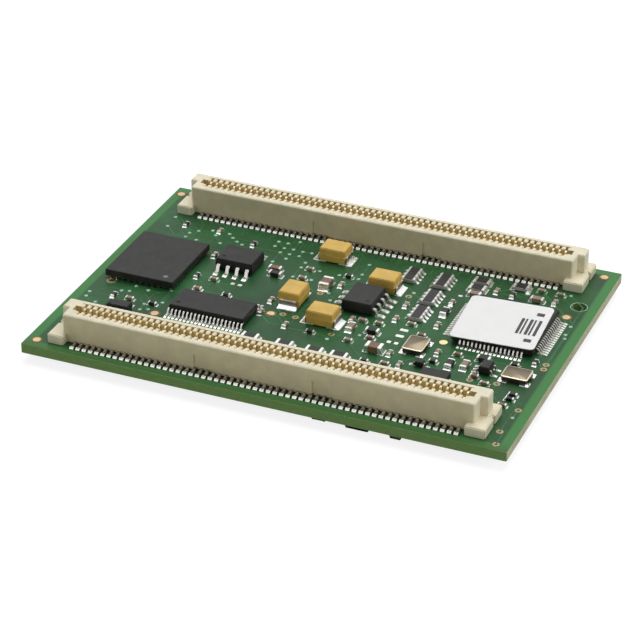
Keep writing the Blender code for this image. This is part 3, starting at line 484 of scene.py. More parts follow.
def add_loft(shape, rings, finish=0):
    """Add a solid through rings of (outline, height), one above the next."""
    levels = [[shape.verts.new((x, y, height)) for x, y in outline] for outline, height in rings]
    shape.faces.new(levels[0])
    shape.faces.new(levels[-1])
    for lower, upper in zip(levels, levels[1:]):
        for index in range(len(lower)):
            after = (index + 1) % len(lower)
            shape.faces.new((lower[index], lower[after], upper[after], upper[index]))
    paint(shape, [vert for level in levels for vert in level], finish)


def add_arc(points, centre, radius, start, steps=4):
    """Add a quarter of a circle to a list of points, from a given angle on."""
    points += [around(centre, radius, start + step / steps * math.pi / 2) for step in range(steps + 1)]


def rounded_outline(half_x, half_y, corner, steps=4):
    """Points of a rectangle with round corners."""
    points = []
    for quarter, (side_x, side_y) in enumerate(((1, 1), (-1, 1), (-1, -1), (1, -1))):
        centre = (side_x * (half_x - corner), side_y * (half_y - corner))
        add_arc(points, centre, corner, quarter * math.pi / 2, steps)
    return points


def rounded_path(points, radius):
    """A path with its inner corners turned into arcs."""
    points = [Vector(point) for point in points]
    path = [points[0]]
    for before, corner, after in zip(points, points[1:], points[2:]):
        into = (corner - before).normalized()
        out = (after - corner).normalized()
        for share in (0.0, 1 / 3, 2 / 3, 1.0):
            start = corner - into * radius * (1 - share)
            path.append(start.lerp(corner + out * radius * share, share))
    return path + [points[-1]]


def strip_outline(points, radius, thickness):
    """Outline of a strip of even thickness, bent along a path."""
    path = rounded_path(points, radius)
    sides = [[], []]
    for index, point in enumerate(path):
        along = (path[min(index + 1, len(path) - 1)] - path[max(index - 1, 0)]).normalized()
        across = Vector((-along.y, along.x)) * thickness / 2
        sides[0].append(tuple(point + across))
        sides[1].append(tuple(point - across))
    return sides[0] + sides[1][::-1]


def as_mesh(shape):
    """Turn a bmesh into a mesh with its faces pointing out, and free it."""
    bmesh.ops.recalc_face_normals(shape, faces=shape.faces)
    mesh = bpy.data.meshes.new("shape")
    shape.to_mesh(mesh)
    shape.free()
    return mesh


def stamp(shape, mesh, matrix):
    """Add a moved copy of a mesh."""
    count = len(shape.verts)
    shape.from_mesh(mesh)
    shape.verts.ensure_lookup_table()
    bmesh.ops.transform(shape, matrix=matrix, verts=shape.verts[count:])


def moved(x, y, z, turn):
    """A turn about Z and then a move."""
    return Matrix.Translation((x, y, z)) @ Matrix.Rotation(turn, 4, "Z")


def row(count, pitch):
    """Places of a centred row."""
    return [(index - (count - 1) / 2) * pitch for index in range(count)]


def stamp_rows(shape, mesh, turns, count=1, pitch=0.0, out=0.0):
    """Add rows of copies of a mesh that points along X: moved out, then turned about Z."""
    for turn in turns:
        for along in row(count, pitch):
            stamp(shape, mesh, Matrix.Rotation(turn, 4, "Z") @ Matrix.Translation((out, along, 0.0)))


def rows_of(shape, turns, count=1, pitch=0.0, out=0.0):
    """A mesh of such rows of a shape."""
    rows = bmesh.new()
    stamp_rows(rows, as_mesh(shape), turns, count, pitch, out)
    return as_mesh(rows)


def add_object(name, data):
    """Add an object to the scene."""
    item = bpy.data.objects.new(name, data)
    bpy.context.scene.collection.objects.link(item)
    return item


def carved(base, tool):
    """A mesh of the base with the tool cut out of it."""
    holders = [add_object("carve", as_mesh(shape)) for shape in (base, tool)]
    modifier = holders[0].modifiers.new("carve", "BOOLEAN")
    modifier.operation = "DIFFERENCE"
    modifier.solver = "EXACT"
    modifier.object = holders[1]
    graph = bpy.context.evaluated_depsgraph_get()
    shape = bmesh.new()
    shape.from_mesh(bpy.data.meshes.new_from_object(holders[0].evaluated_get(graph)))
    for holder in holders:
        bpy.data.objects.remove(holder, do_unlink=True)
    return shape


def make_piece(name, shape, finishes, matrix=Matrix(), replaced=None):
    """Make a piece of the module from a mesh or a shape in millimetres."""
    mesh = shape.copy() if isinstance(shape, bpy.types.Mesh) else as_mesh(shape)
    mesh.transform(matrix)
    mesh.transform(Matrix.Scale(MM, 4))
    for finish in finishes:
        mesh.materials.append(FINISH[finish])
    mesh.shade_smooth()
    mesh.set_sharp_from_angle(angle=SMOOTH_ANGLE)
    piece = add_object(name, mesh)
    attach(piece, BODY)
    if replaced:
        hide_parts(replaced)


def seat_of(node, under=False):
    """The matrix that sets a component, built about its seat, where its node stands."""
    low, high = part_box(node)
    x = (low.x + high.x) / 2 / MM
    y = (low.y + high.y) / 2 / MM
    turn = math.pi / 2 if node in TURNED else 0.0
    if under:
        return moved(x, y, high.z / MM, turn) @ Matrix.Rotation(math.pi, 4, "X")
    return moved(x, y, low.z / MM, turn)


# Circuit board

def board_plate():
    """The laminate with its mounting hole."""
    shape, tool = bmesh.new(), bmesh.new()
    outline = rounded_outline(BOARD_HALF_X, BOARD_HALF_Y, BOARD_CORNER, 6)
    add_prism(shape, outline, BOARD_BOTTOM, BOARD_TOP)
    rim = [edge for edge in shape.edges if edge.verts[0].co.z == edge.verts[1].co.z]
    bmesh.ops.bevel(shape, geom=rim, offset=0.03, segments=1, affect="EDGES")
    add_disc(tool, MOUNTING_HOLE, MOUNTING_HOLE_RADIUS, BOARD_BOTTOM - 1, BOARD_TOP + 1, 0, 40)
    shape = carved(shape, tool)
    for face in shape.faces:
        face.normal_update()
        # End faces across X take the paler edge: painted light.
        side = 2 if abs(face.normal.x) > 0.9 else 1
        face.material_index = 0 if abs(face.normal.z) > 0.9 else side
    finishes = ("mask", "edge", "edge_end_painted_light")
    make_piece("board_laminate", shape, finishes, replaced="circuit_board")


def board_metal():
    """Bare dots, rings, vias and pads on the component side."""
    finishes = ("copper", "pale_gold", "tin", "filled_via", "hole", "bare", "ring")
    copper, gold, tin, filled, hole, bare, ring = range(len(finishes))
    shape = bmesh.new()
    sunk, pit, top = BOARD_TOP - 0.02, BOARD_TOP + 0.005, BOARD_TOP + 0.02
    for place in COPPER_DOTS:
        add_disc(shape, place, 0.48, sunk, top, copper, 24)
        add_ring(shape, place, 0.5, 0.72, sunk, BOARD_TOP + 0.01, bare, 24)
    add_disc(shape, GOLD_DOT, 0.5, sunk, top + 0.03, gold, 24)
    # Via holes are near-black discs: painted shade in place of open holes.
    for place in RING_VIAS:
        add_ring(shape, place, 0.17, 0.42, sunk, top, ring, 20)
        add_disc(shape, place, 0.17, sunk, pit, hole, 12)
    add_ring(shape, WIDE_VIA, 0.3, 0.65, sunk, top, gold, 24)
    add_disc(shape, WIDE_VIA, 0.3, sunk, pit, hole, 16)
    for place in FILLED_VIAS:
        outline = ((0, sunk), (0.24, sunk), (0.22, top + 0.01), (0.1, top + 0.03), (0, top + 0.03))
        add_lathe(shape, outline, place, 12, filled)
    for x, y, length, width in BARE_PADS:
        low = (x - length / 2, y - width / 2, sunk)
        add_box(shape, low, (x + length / 2, y + width / 2, top + 0.03), 0.03, tin)
    radius = MOUNTING_HOLE_RADIUS
    add_ring(shape, MOUNTING_HOLE, radius + 0.02, radius + 0.1, sunk, top, filled, 40)
    make_piece("board_metal", shape, finishes)


def add_track(shape, start, end, width, level):
    """Add a track that leaves its start at 45 degrees and then runs straight to its end."""
    step = end - start
    reach = min(abs(step.x), abs(step.y))
    knee = start + Vector((math.copysign(reach, step.x), math.copysign(reach, step.y)))
    for first, second, height in ((start, knee, level), (knee, end, level * 1.06)):
        run = second - first
        if run.length >= width:
            middle = (first + second) / 2
            matrix = moved(middle.x, middle.y, BOARD_TOP, math.atan2(run.y, run.x))
            matrix = matrix @ Matrix.Diagonal((run.length + width, width, height * 2, 1.0))
            bmesh.ops.create_cube(shape, size=1.0, matrix=matrix)


def board_tracks():
    """Tracks under the solder mask; no two stand equally high, so that none share a surface."""
    draw = random.Random(7)
    shape = bmesh.new()
    ends = [Vector(place) for place in FILLED_VIAS + RING_VIAS + CHIPS_ALONG_X + CHIPS_ALONG_Y]
    for start in ends:
        others = sorted(ends, key=lambda end: (end - start).length)[1:7]
        for end in draw.sample(others, 2):
            add_track(shape, start, end, draw.choice((0.12, 0.15, 0.2)), draw.uniform(0.01, 0.02))
    for connector, side in (("near_connector", 1), ("far_connector", -1)):
        low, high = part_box(connector)
        middle = Vector(((low.x + high.x) / 2, (low.y + high.y) / 2)) / MM
        for along in row(CONTACTS, CONTACT_PITCH):
            start = middle + Vector((along, side * TAIL_TIP))
            length = draw.uniform(0.6, 2.6)
            end = start + Vector((draw.choice((-1, 0, 0, 1)) * length * 0.5, side * length))
            add_track(shape, start, end, 0.13, draw.uniform(0.01, 0.02))
    make_piece("board_tracks", shape, ("trace",))


# Two-ended chips

def solder_wedge(shape, x, reach, height, half):
    """Solder that climbs a terminal's end face, with a hollow slope; the terminal faces +X."""
    outline = [(x - 0.05, 0.0), (x - 0.05, height)]
    for share in (0.0, 0.25, 0.5, 0.75, 1.0):
        outline.append((x + reach * share, height * (1 - share) ** 2 + 0.03 * (1 - share)))
    add_profile(shape, outline, half, 1)


def add_pad(shape, start, end, half):
    """Solder spread over the pad under a lead or a terminal."""
    add_box(shape, (start, -half, -0.02), (end, half, 0.012), 0.0, 1)


def two_ended(size, cap, reach, drop=0.03, dome=0.05):
    """A chip's body, lower than its ends by a drop, and its plated ends with their solder."""
    length, width, height = size
    end_x = length / 2
    body, end = bmesh.new(), bmesh.new()
    add_block(body, end_x - cap * 0.4, width / 2 - 0.02, 0.04, height - drop, 0.03)
    add_box(end, (end_x - cap, -width / 2, 0.02), (end_x, width / 2, height), dome)
    solder_wedge(end, end_x, reach, height * 0.72, width / 2 + 0.02)
    add_pad(end, end_x - cap - 0.05, end_x + reach + 0.05, width / 2 + 0.05)
    return as_mesh(body), rows_of(end, BOTH_WAYS)


def marked_resistor(size, cap, reach):
    """A chip resistor: white ceramic block, dark glaze on top, plated ends and solder."""
    length, width, height = size
    body, ends = two_ended(size, cap, reach, 0.05, 0.04)
    shape = bmesh.new()
    shape.from_mesh(body)
    half_x, half_y = length / 2 - cap - 0.02, width / 2 - 0.06
    add_block(shape, half_x, half_y, height - 0.07, height - 0.01, 0.025, 1)
    return as_mesh(shape), ends


def place_two_ended(node, meshes, body_finishes, under=False):
    """Set a two-ended chip on its node."""
    body, ends = meshes
    matrix = seat_of(node, under)
    make_piece(f"{node}_body", body, body_finishes, matrix, node)
    # Chips on the underside get dark ends instead of tin and solder: painted shade.
    make_piece(f"{node}_ends", ends, ("base", "tail") if under else ("tin", "solder"), matrix)


def board_chips():
    """The smallest chips, which the board carries as part of itself."""
    draw = random.Random(11)
    body, ends = two_ended(CHIP_0402, 0.22, 0.14, dome=0.06)
    groups = {"tan": bmesh.new(), "glaze": bmesh.new(), "brown": bmesh.new()}
    metal = bmesh.new()
    spots = [(x, y, 0.0, False) for x, y in CHIPS_ALONG_X]
    spots += [(x, y, math.pi / 2, False) for x, y in CHIPS_ALONG_Y]
    spots += [(x, y, 0.0, True) for x in UNDER_CHIP_COLUMNS for y in UNDER_CHIP_ROWS]
    for x, y, turn, under in spots:
        matrix = moved(x, y, BOARD_BOTTOM if under else BOARD_TOP, turn)
        if under:
            matrix = matrix @ Matrix.Rotation(math.pi, 4, "X")
        drawn = draw.choice(("tan", "tan", "glaze"))
        stamp(groups[CHIP_FINISHES.get((x, y), drawn)], body, matrix)
        stamp(metal, ends, matrix)
    for finish, slot in (("tan", "brown_ceramic"), ("brown", "brown_ceramic"), ("glaze", "resistor_glaze")):
        make_piece(f"small_{finish}_chips", groups[finish], (finish,))
    make_piece("small_chip_ends", metal, ("tin", "solder"))


# Moulded chips

def moulded_case(half_x, half_y, height, draft=DRAFT, edge=0.06):
    """A case that is widest at its parting line, with small round edges."""
    shape = bmesh.new()
    middle = (STANDOFF + height) / 2
    add_block(shape, half_x, half_y, STANDOFF, height)
    geometry = list(shape.verts) + list(shape.edges) + list(shape.faces)
    bmesh.ops.bisect_plane(shape, geom=geometry, plane_co=(0, 0, middle), plane_no=(0, 0, 1))
    ends = [vert for vert in shape.verts if abs(vert.co.z - middle) > 0.05]
    scale = ((half_x - draft) / half_x, (half_y - draft) / half_y, 1.0)
    bmesh.ops.scale(shape, vec=scale, verts=ends)
    bmesh.ops.bevel(shape, geom=list(shape.edges), offset=edge, segments=2, affect="EDGES")
    return shape


def dimpled(shape, place, radius, depth, top):
    """Cut a shallow round dimple into a case's top."""
    tool = bmesh.new()
    outline = ((0, top - depth), (radius * 0.8, top - depth), (radius, top + 0.3), (0, top + 0.3))
    add_lathe(tool, outline, place, 20)
    return carved(shape, tool)


def gull_lead(reach, rise, width, thickness):
    """One bent lead with its pad and solder, leaving the case's side at X = 0."""
    shape = bmesh.new()
    shoulder, ankle, foot = reach * 0.24, reach * 0.5, thickness / 2
    points = ((-0.2, rise), (shoulder, rise), (ankle, foot), (reach, foot))
    bend = min(shoulder, reach - ankle, rise / 2) * 0.7
    add_profile(shape, strip_outline(points, bend, thickness), width / 2)
    edges = [edge for edge in shape.edges if abs(edge.verts[0].co.y - edge.verts[1].co.y) < 1e-6]
    bmesh.ops.bevel(shape, geom=edges, offset=thickness * 0.2, segments=1, affect="EDGES")
    half = width / 2 + 0.04
    toe = [(ankle - 0.22, 0.0), (ankle - 0.08, 0.08), (ankle + 0.02, foot * 1.2)]
    toe += [(reach - 0.03, foot * 1.5), (reach + 0.04, foot * 1.1), (reach + 0.14, 0.05), (reach + 0.3, 0.0)]
    add_profile(shape, toe, half, 1)
    add_pad(shape, ankle - 0.3, reach + 0.36, half + 0.03)
    return shape


def two_row_leads(chip):
    """All leads of a chip with leads on its near and far sides."""
    _, width, height, near, far, pitch, reach, lead_width, thickness = chip
    lead = as_mesh(gull_lead(reach, (STANDOFF + height) / 2, lead_width, thickness))
    shape = bmesh.new()
    for count, turn in zip((near, far), NEAR_AND_FAR):
        span = pitch * 2 if chip is FIVE_CHIP and count == 2 else pitch
        stamp_rows(shape, lead, (turn,), count, span, width / 2)
    return shape


def place_leaded(node, chip, dimple=0.0, turn=0.0, under=False):
    """Set a chip with two rows of leads on its node."""
    length, width, height = chip[:3]
    case = moulded_case(length / 2, width / 2, height, edge=min(0.06, height / 12))
    if dimple:
        case = dimpled(case, (-length / 2 + dimple * 3, -width / 2 + dimple * 3), dimple, 0.06, height)
    matrix = seat_of(node, under) @ Matrix.Rotation(turn, 4, "Z")
    make_piece(f"{node}_case", case, ("mould",), matrix, node)
    make_piece(f"{node}_leads", two_row_leads(chip), ("lead", "toe"), matrix)


def place_controller():
    """The chip with leads on all four sides."""
    case = moulded_case(QUAD_HALF, QUAD_HALF, QUAD_HEIGHT)
    case = dimpled(case, (1.1 - QUAD_HALF, QUAD_HALF - 1.1), 0.35, 0.06, QUAD_HEIGHT)
    lead = gull_lead(QUAD_REACH, (STANDOFF + QUAD_HEIGHT) / 2, 0.22, 0.13)
    leads = rows_of(lead, FOUR_SIDES, QUAD_LEADS, QUAD_PITCH, QUAD_HALF)
    matrix = seat_of("controller_chip")
    make_piece("controller_case", case, ("mould",), matrix, "controller_chip")
    make_piece("controller_leads", leads, ("lead", "toe"), matrix)


def place_diode():
    """The moulded diode with a lead at each end."""
    length, width, height = DIODE
    case = moulded_case(length / 2, width / 2, height, 0.08, 0.04)
    lead = gull_lead(0.33, (STANDOFF + height) / 2, 0.3, 0.12)
    matrix = seat_of("diode")
    make_piece("diode_case", case, ("mould",), matrix, "diode")
    make_piece("diode_leads", rows_of(lead, BOTH_WAYS, out=length / 2), ("lead", "toe"), matrix)


# Label

def place_label():
    """A paper label with round corners whose free edges lift a little, and plain printed bars."""
    low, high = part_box("controller_label")
    x, y = (low.x + high.x) / 2 / MM + LABEL_SHIFT, (low.y + high.y) / 2 / MM
    matrix = moved(x, y, low.z / MM, LABEL_TURN)
    inner_x, inner_y = (size / 2 - LABEL_CORNER for size in LABEL)
    shape = bmesh.new()
    bmesh.ops.create_grid(shape, x_segments=28, y_segments=28, size=0.5)
    for vert in shape.verts:
        x, y = vert.co.x * LABEL[0], vert.co.y * LABEL[1]
        u, v = (abs(x) - inner_x) / LABEL_CORNER, (abs(y) - inner_y) / LABEL_CORNER
        if u > 0 and v > 0:
            x = math.copysign(inner_x + LABEL_CORNER * u * math.sqrt(1 - v * v / 2), x)
            y = math.copysign(inner_y + LABEL_CORNER * v * math.sqrt(1 - u * u / 2), y)
        vert.co = (x, y, label_lift(x, y))
    bmesh.ops.solidify(shape, geom=list(shape.faces), thickness=-0.08)
    make_piece("label_sheet", shape, ("paper",), matrix, "controller_label")
    bars = bmesh.new()
    for index, width in enumerate((0.35, 0.21, 0.35, 0.21, 0.35)):
        x = 2.0 + index * 0.52
        add_box(bars, (x, -2.0, 0.06), (x + width, 1.6, 0.105))
    for y in (-3.6, 2.6):
        add_box(bars, (3.4, y, 0.06), (4.3, y + 0.7, 0.105))
    make_piece("label_bars", bars, ("ink",), matrix)


def label_lift(x, y):
    """How far the label's free edges stand up."""
    edge = max(0.0, abs(x) - 3.9) ** 2 + max(0.0, abs(y) - 4.2) ** 2
    return -0.02 * edge + 0.01 * math.sin(x * 1.3) * math.cos(y * 0.9)


# Chips on solder balls and without leads

def place_ball_grid(node, dot, under=False):
    """A flat chip standing on a field of solder balls, with a printed dot in a dimple."""
    size = (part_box(node)[1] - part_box(node)[0]) / MM
    half_x, half_y, height = size.x / 2, size.y / 2, size.z
    shape = bmesh.new()
    add_block(shape, half_x, half_y, 0.34, 0.6, 0.02, 1)
    add_block(shape, half_x, half_y, 0.58, height, 0.05, 0, 3)
    shape = dimpled(shape, dot, 0.4, 0.05, height)
    add_disc(shape, dot, 0.36, height - 0.08, height - 0.03, 2, 20)
    matrix = seat_of(node, under)
    make_piece(f"{node}_case", shape, ("mould", "base", "print"), matrix, node)
    balls, ball = bmesh.new(), bmesh.new()
    bmesh.ops.create_uvsphere(ball, u_segments=10, v_segments=6, radius=BALL_RADIUS)
    ball = as_mesh(ball)
    columns = int((2 * half_x - BALL_PITCH) / BALL_PITCH) + 1
    rows = int((2 * half_y - BALL_PITCH) / BALL_PITCH) + 1
    for i, x in enumerate(row(columns, BALL_PITCH)):
        for j, y in enumerate(row(rows, BALL_PITCH)):
            if min(i, j, columns - 1 - i, rows - 1 - j) < BALL_RINGS:
                stamp(balls, ball, Matrix.Translation((x, y, 0.17)))
    make_piece(f"{node}_balls", balls, ("solder",), matrix)


def place_power_chip():
    """A leadless square chip with pads that show at its foot."""
    half, height = POWER_CHIP_HALF, POWER_CHIP_HEIGHT
    case, pad = bmesh.new(), bmesh.new()
    add_block(case, half, half, 0.02, height, 0.05)
    case = dimpled(case, (-1.2, -1.2), 0.2, 0.04, height)
    matrix = seat_of("power_chip")
    make_piece("power_chip_case", case, ("mould",), matrix, "power_chip")
    add_box(pad, (half - 0.2, -0.15, 0.0), (half + 0.03, 0.15, 0.22), 0.02)
    add_profile(pad, [(half, 0.0), (half, 0.2), (half + 0.1, 0.1), (half + 0.25, 0.0)], 0.17, 1)
    make_piece("power_chip_pads", rows_of(pad, FOUR_SIDES, 4, 0.75), ("tin", "solder"), matrix)


# Capacitors, crystals and arrays

def place_tantalum(node):
    """A moulded capacitor, its folded tabs and the solder on its pads."""
    length, width, height = TANTALUM
    end, side = length / 2, width / 2
    shape = moulded_case(end, side, height, 0.1, 0.09)
    middle = (STANDOFF + height) / 2
    add_block(shape, end + 0.03, side + 0.03, middle - 0.03, middle + 0.03, 0.01)
    matrix = seat_of(node)
    make_piece(f"{node}_case", shape, ("ochre",), matrix, node)
    tab = bmesh.new()
    points = ((end - 0.3, 0.94), (end + 0.09, 0.94), (end + 0.09, 0.06), (end - 0.9, 0.06))
    add_profile(tab, strip_outline(points, 0.14, 0.11), 1.1)
    solder_wedge(tab, end + 0.12, 0.62, 0.28, 1.15)
    add_pad(tab, end - 0.9, end + 0.8, 1.2)
    # Two small solder-bright blocks at each tab's bend: painted highlights.
    for along in (-0.85, 0.85):
        add_box(tab, (end + 0.08, along - 0.2, 0.8), (end + 0.17, along + 0.2, 1.02), 0.03, 1)
    # The tabs are dark metal as painted reflection and painted shade.
    make_piece(f"{node}_tabs", rows_of(tab, BOTH_WAYS), ("tail", "solder"), matrix)


def place_crystal(node):
    """A ceramic base under a thin metal lid, soldered at its four corners."""
    length, width, height = CRYSTAL
    half_x, half_y = length / 2, width / 2
    shape, metal = bmesh.new(), bmesh.new()
    add_prism(shape, rounded_outline(half_x - 0.05, half_y - 0.05, 0.25), 0.03, height - 0.14, 1)
    outline = rounded_outline(half_x, half_y, 0.28)
    inner = rounded_outline(half_x - 0.13, half_y - 0.13, 0.2)
    add_loft(shape, ((outline, height - 0.16), (outline, height - 0.05), (inner, height - 0.02)), 2)
    low = rounded_outline(half_x - 0.15, half_y - 0.15, 0.18)
    add_loft(shape, ((inner, height - 0.06), (inner, height - 0.015), (low, height)))
    matrix = seat_of(node)
    make_piece(f"{node}_package", shape, ("lid", "base", "lid_rim"), matrix, node)
    for x, y in ((-1, -1), (-1, 1), (1, -1), (1, 1)):
        ends = sorted((x * (half_x - 0.85), x * (half_x + 0.27)))
        sides = sorted((y * (half_y - 0.7), y * (half_y + 0.27)))
        add_box(metal, (ends[0], sides[0], -0.02), (ends[1], sides[1], 0.07), 0.035, 1)
        slope = ((0, 0.0), (0.26, 0.0), (0.2, 0.1), (0.12, 0.22), (0, 0.24))
        add_lathe(metal, slope, (x * (half_x - 0.05), y * (half_y - 0.05)), 12, 1)
    make_piece(f"{node}_pads", metal, ("tin", "solder"), matrix)


def place_array(node):
    """Four resistors in one block, with a terminal and its solder at both ends of each."""
    length, width, height = ARRAY
    half_x, half_y = length / 2, width / 2
    shape, end = bmesh.new(), bmesh.new()
    add_block(shape, half_x, half_y, 0.04, height - 0.04, 0.03, 1)
    add_block(shape, half_x - 0.06, half_y - 0.26, height - 0.1, height, 0.03)
    matrix = seat_of(node)
    make_piece(f"{node}_body", shape, ("glaze", "alumina"), matrix, node)
    add_box(end, (half_y - 0.24, -0.24, 0.02), (half_y + 0.05, 0.24, height), 0.06)
    solder_wedge(end, half_y + 0.03, 0.5, height * 0.72, 0.23)
    make_piece(f"{node}_ends", rows_of(end, NEAR_AND_FAR, 4, 0.8), ("tin", "solder"), matrix)


# Connectors

def housing_outline(inset):
    """Plan of a housing, drawn in by an inset: the far half is longer by a step at both ends."""
    short, long, half = HOUSING_HALF_X, HOUSING_HALF_X + HOUSING_KEY, HOUSING_HALF_Y
    corner = HOUSING_CORNER
    arc = max(corner - inset, 0.03)
    right = []
    add_arc(right, (short - corner, corner - half), arc, -math.pi / 2)
    right += [(short - inset, inset), (long - inset, inset)]
    add_arc(right, (long - corner, half - corner), arc, 0.0)
    return right + [(-x, y) for x, y in reversed(right)]


def housing_mesh():
    """The housing: walls with rounded tops, feet, recesses, and a rib between contacts."""
    shape = bmesh.new()
    side_top = HOUSING_TOP - HOUSING_ROUND
    rings = [(housing_outline(0.0), height) for height in (HOUSING_LIFT, side_top - 0.08, side_top)]
    for step in range(1, 5):
        angle = step / 4 * math.pi / 2
        inset = HOUSING_ROUND * (1 - math.cos(angle))
        rings.append((housing_outline(inset), side_top + HOUSING_ROUND * math.sin(angle)))
    rings.append((housing_outline(HOUSING_ROUND + 0.03), HOUSING_TOP))
    add_loft(shape, rings)
    tool, channel = bmesh.new(), bmesh.new()
    add_block(tool, WELL_HALF_X, WELL_HALF_Y, WELL_FLOOR, WELL_OPEN)
    add_block(channel, CHANNEL_HALF_X, CHANNEL_HALF, WELL_FLOOR + 0.1, WELL_OPEN)
    for side in (-1, 1):
        low, high = sorted((side * (HOUSING_HALF_Y - RECESS_DEPTH), side * (HOUSING_HALF_Y + 1)))
        for along in RECESSES:
            add_box(tool, (along - RECESS_HALF, low, -1.0), (along + RECESS_HALF, high, RECESS_TOP))
    shape = carved(carved(shape, tool), channel)
    for face in shape.faces:
        face.normal_update()
        middle = face.calc_center_median()
        # Long side faces and recess floors take the darker cream: painted shade.
        is_side = abs(face.normal.y) > 0.95 and abs(middle.y) > WELL_HALF_Y + 0.05
        inside = WELL_FLOOR - 0.01 < middle.z < HOUSING_TOP - 0.4 and abs(middle.y) < WELL_HALF_Y + 0.01
        # Faces deep in the well and channel take the golden dark cream: painted shade and painted gold
        # reflection.
        deep = inside and abs(middle.x) < CHANNEL_HALF_X + 0.01
        face.material_index = 1 if is_side else 2 if deep else 0
    rib = bmesh.new()
    half = RIB_WIDTH / 2
    add_box(rib, (CHANNEL_HALF, -half, WELL_FLOOR - 0.05), (WELL_HALF_Y + 0.03, half, RIB_TOP), 0.07)
    for face in rib.faces:
        face.normal_update()
        # Rib sides and ends take the same painted shade and painted gold reflection.
        face.material_index = 2 if face.normal.z < 0.5 else 0
    stamp_rows(shape, as_mesh(rib), NEAR_AND_FAR, CONTACTS + 1, CONTACT_PITCH)
    add_feet(shape)
    return as_mesh(shape)


def add_feet(shape):
    """Add the two feet, with a notch in their outer sides."""
    half, outer, dent = FOOT_HALF_Y, FOOT_OUTER, FOOT_OUTER - NOTCH_DEPTH
    for side, inner in zip((-1, 1), FOOT_INNER):
        outline = (
            (inner, -half), (outer, -half), (outer, NOTCH[0]), (dent, NOTCH[0]),
            (dent, NOTCH[1]), (outer, NOTCH[1]), (outer, half), (inner, half),
        )
        foot = bmesh.new()
        add_prism(foot, [(side * x, y) for x, y in outline], 0.0, FOOT_TOP)
        edges = [edge for edge in foot.edges if max(vert.co.z for vert in edge.verts) > 0.01]
        bmesh.ops.bevel(foot, geom=edges, offset=0.12, segments=2, affect="EDGES")
        shape.from_mesh(as_mesh(foot))


def contacts_mesh():
    """The gold spring contacts that face each other across the channel."""
    contact = bmesh.new()
    points = ((0.86, 2.5), (0.86, 3.28), (0.46, 3.28), (0.38, 2.8), (0.3, 2.3), (0.45, 1.2))
    add_profile(contact, strip_outline(points, 0.16, 0.1), 0.14)
    add_box(contact, (0.4, -0.2, 1.2), (0.62, 0.2, 3.0), 0.03)
    return rows_of(contact, NEAR_AND_FAR, CONTACTS, CONTACT_PITCH)


def tails_mesh():
    """The contact tails, each with a bright toe of solder, over a dark strip of painted shade."""
    tail, shape = bmesh.new(), bmesh.new()
    half = TAIL_WIDTH / 2
    points = ((1.5, 0.24), (2.1, 0.24), (2.5, 0.12), (TAIL_TIP, 0.12))
    add_profile(tail, strip_outline(points, 0.16, 0.16), half)
    add_profile(tail, [(2.1, 0.0), (2.25, 0.14), (2.5, 0.13), (2.8, 0.15), (2.88, 0.0)], half + 0.08)
    toe = [(2.78, 0.0), (2.82, 0.12), (2.88, 0.2), (2.96, 0.23), (3.05, 0.21), (3.13, 0.15),
           (3.2, 0.06), (3.25, 0.0)]
    add_profile(tail, toe, half + 0.09, 1)
    stamp_rows(shape, as_mesh(tail), NEAR_AND_FAR, CONTACTS, CONTACT_PITCH)
    # A dark strip under the tails: painted shade between them and along the housing's foot.
    add_block(shape, CONTACTS * CONTACT_PITCH / 2, TAIL_TIP + 0.15, -0.02, 0.01, 0.0, 2)
    return as_mesh(shape)


def place_connectors():
    """Set both connectors on their nodes."""
    housing, contacts, tails = housing_mesh(), contacts_mesh(), tails_mesh()
    for node in ("near_connector", "far_connector"):
        matrix = seat_of(node)
        # The second housing finish is painted shade on the long sides; the third is painted shade with a
        # painted gold reflection deep in the well.
        finishes = ("cream", "cream_side_painted_shade", "cream_deep_painted_shade_and_reflection")
        make_piece(f"{node}_housing", housing, finishes, matrix, node)
        make_piece(f"{node}_contacts", contacts, ("gold",), matrix)
        # The tails are dark metal as painted shade and painted reflection, over a strip of painted shade.
        make_piece(f"{node}_tails", tails, ("tail", "toe", "tail_strip_painted_shade"), matrix)


# The whole module

def place_all():
    """Make every piece."""
    board_plate()
    board_metal()
    board_tracks()
    board_chips()
    place_connectors()
    place_controller()
    place_label()
    place_leaded("buffer_chip", FINE_CHIP, 0.3)
    for number in (1, 2):
        place_leaded(f"driver_chip_{number}", EIGHT_CHIP, 0.28)
        place_crystal(f"crystal_{number}")
        place_ball_grid(f"ram_chip_{number}", (-5.2, -3.8), under=True)
    place_leaded("switch_chip", SIX_CHIP, 0.14)
    place_leaded("regulator", FIVE_CHIP, turn=-math.pi / 2)
    place_leaded("under_transistor", THREE_CHIP, under=True)
    place_diode()
    place_power_chip()
    place_ball_grid("memory_chip", (3.05, -4.15))
    place_ball_grid("processor_chip", (-8.2, -8.2), under=True)
    place_ball_grid("flash_chip", (-3.0, -4.0), under=True)
    for number in range(1, 5):
        place_tantalum(f"tantalum_capacitor_{number}")
        place_array(f"resistor_array_{number}")
    caps = two_ended(CAP_0805, 0.45, 0.25)
    for number in (1, 2):
        place_two_ended(f"chip_capacitor_{number}", caps, ("brown",))
    resistors = marked_resistor(CHIP_0805, 0.32, 0.25)
    for number in range(1, 8):
        place_two_ended(f"chip_resistor_{number}", resistors, ("alumina", "glaze"))
    middles = two_ended(CHIP_0603, 0.3, 0.18)
    for number in range(1, 11):
        finish = DARK_CHIPS.get(number, "tan")
        place_two_ended(f"mid_capacitor_{number}", middles, (finish,))
    # Both underside capacitors get black glaze bodies: painted shade.
    place_two_ended("under_capacitor_1", middles, ("glaze",), under=True)
    place_two_ended("under_capacitor_2", caps, ("glaze",), under=True)


# Stage

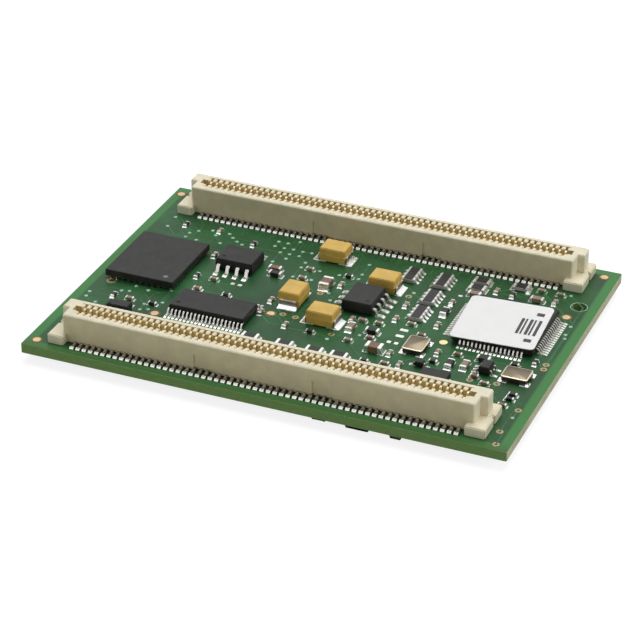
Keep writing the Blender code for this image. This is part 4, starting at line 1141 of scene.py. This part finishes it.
def add_camera():
    """The camera at the photograph's view."""
    lens = bpy.data.cameras.new("camera")
    lens.sensor_width = CAMERA_SENSOR
    lens.lens = CAMERA_LENS
    lens.clip_start = 0.01
    camera = add_object("camera", lens)
    camera.location = Vector(CAMERA_PLACE) * MM
    look = (Vector(CAMERA_TARGET) - Vector(CAMERA_PLACE)).to_track_quat("-Z", "Y")
    camera.rotation_euler = (look.to_matrix() @ Matrix.Rotation(CAMERA_ROLL, 3, "Z")).to_euler()
    bpy.context.scene.camera = camera


def add_lamps():
    """Soft square lamps that point at the module."""
    for name, place, size, power in LAMPS:
        light = bpy.data.lights.new(name, "AREA")
        light.size = size
        light.energy = power
        lamp = add_object(name, light)
        lamp.location = place
        lamp.rotation_euler = (-Vector(place)).to_track_quat("-Z", "Y").to_euler()


def add_world():
    """A surround that looks white, also in gloss and glass, but gives only a weak, even light."""
    world = bpy.data.worlds.new("world")
    bpy.context.scene.world = world
    world.use_nodes = True
    tree = world.node_tree
    plain = set_inputs(tree, tree.nodes["Background"], {"Color": WHITE, "Strength": SURROUND_LIGHT})
    white = add_node(tree, "Background", {"Color": WHITE, "Strength": 1.0})
    rays = add_node(tree, "LightPath", {}).outputs
    seen = rays["Is Camera Ray"]
    for name in ("Is Glossy Ray", "Is Transmission Ray"):
        seen = add_math(tree, "MAXIMUM", seen, rays[name])
    backgrounds = {"Fac": seen, 1: plain.outputs["Background"], 2: white.outputs["Background"]}
    mix = add_node(tree, "MixShader", backgrounds)
    set_inputs(tree, tree.nodes["World Output"], {"Surface": mix.outputs["Shader"]})


def add_floor():
    """A pale floor that looks white, keeps the module's shadow and throws little light back."""
    material = bpy.data.materials.new("floor")
    material.use_nodes = True
    tree = material.node_tree
    tree.nodes.remove(tree.nodes["Principled BSDF"])
    dull = add_node(tree, "BsdfDiffuse", {"Color": FLOOR_BOUNCE})
    pale = add_node(tree, "BsdfDiffuse", {"Color": (FLOOR_SHADE,) * 3})
    glow = add_node(tree, "Emission", {"Strength": FLOOR_GLOW})
    both = add_node(tree, "AddShader", {0: pale.outputs["BSDF"], 1: glow.outputs["Emission"]})
    seen = add_node(tree, "LightPath", {}).outputs["Is Camera Ray"]
    shaders = {"Fac": seen, 1: dull.outputs["BSDF"], 2: both.outputs["Shader"]}
    mix = add_node(tree, "MixShader", shaders)
    set_inputs(tree, tree.nodes["Material Output"], {"Surface": mix.outputs["Shader"]})
    shape = bmesh.new()
    add_block(shape, FLOOR_HALF, FLOOR_HALF, -20.0, 0.0)
    mesh = as_mesh(shape)
    mesh.transform(Matrix.Scale(MM, 4))
    mesh.materials.append(material)
    add_object("floor", mesh)


place_all()
add_camera()
add_lamps()
add_world()
add_floor()
bpy.context.scene.view_settings.view_transform = "Standard"
bpy.context.view_layer.update()
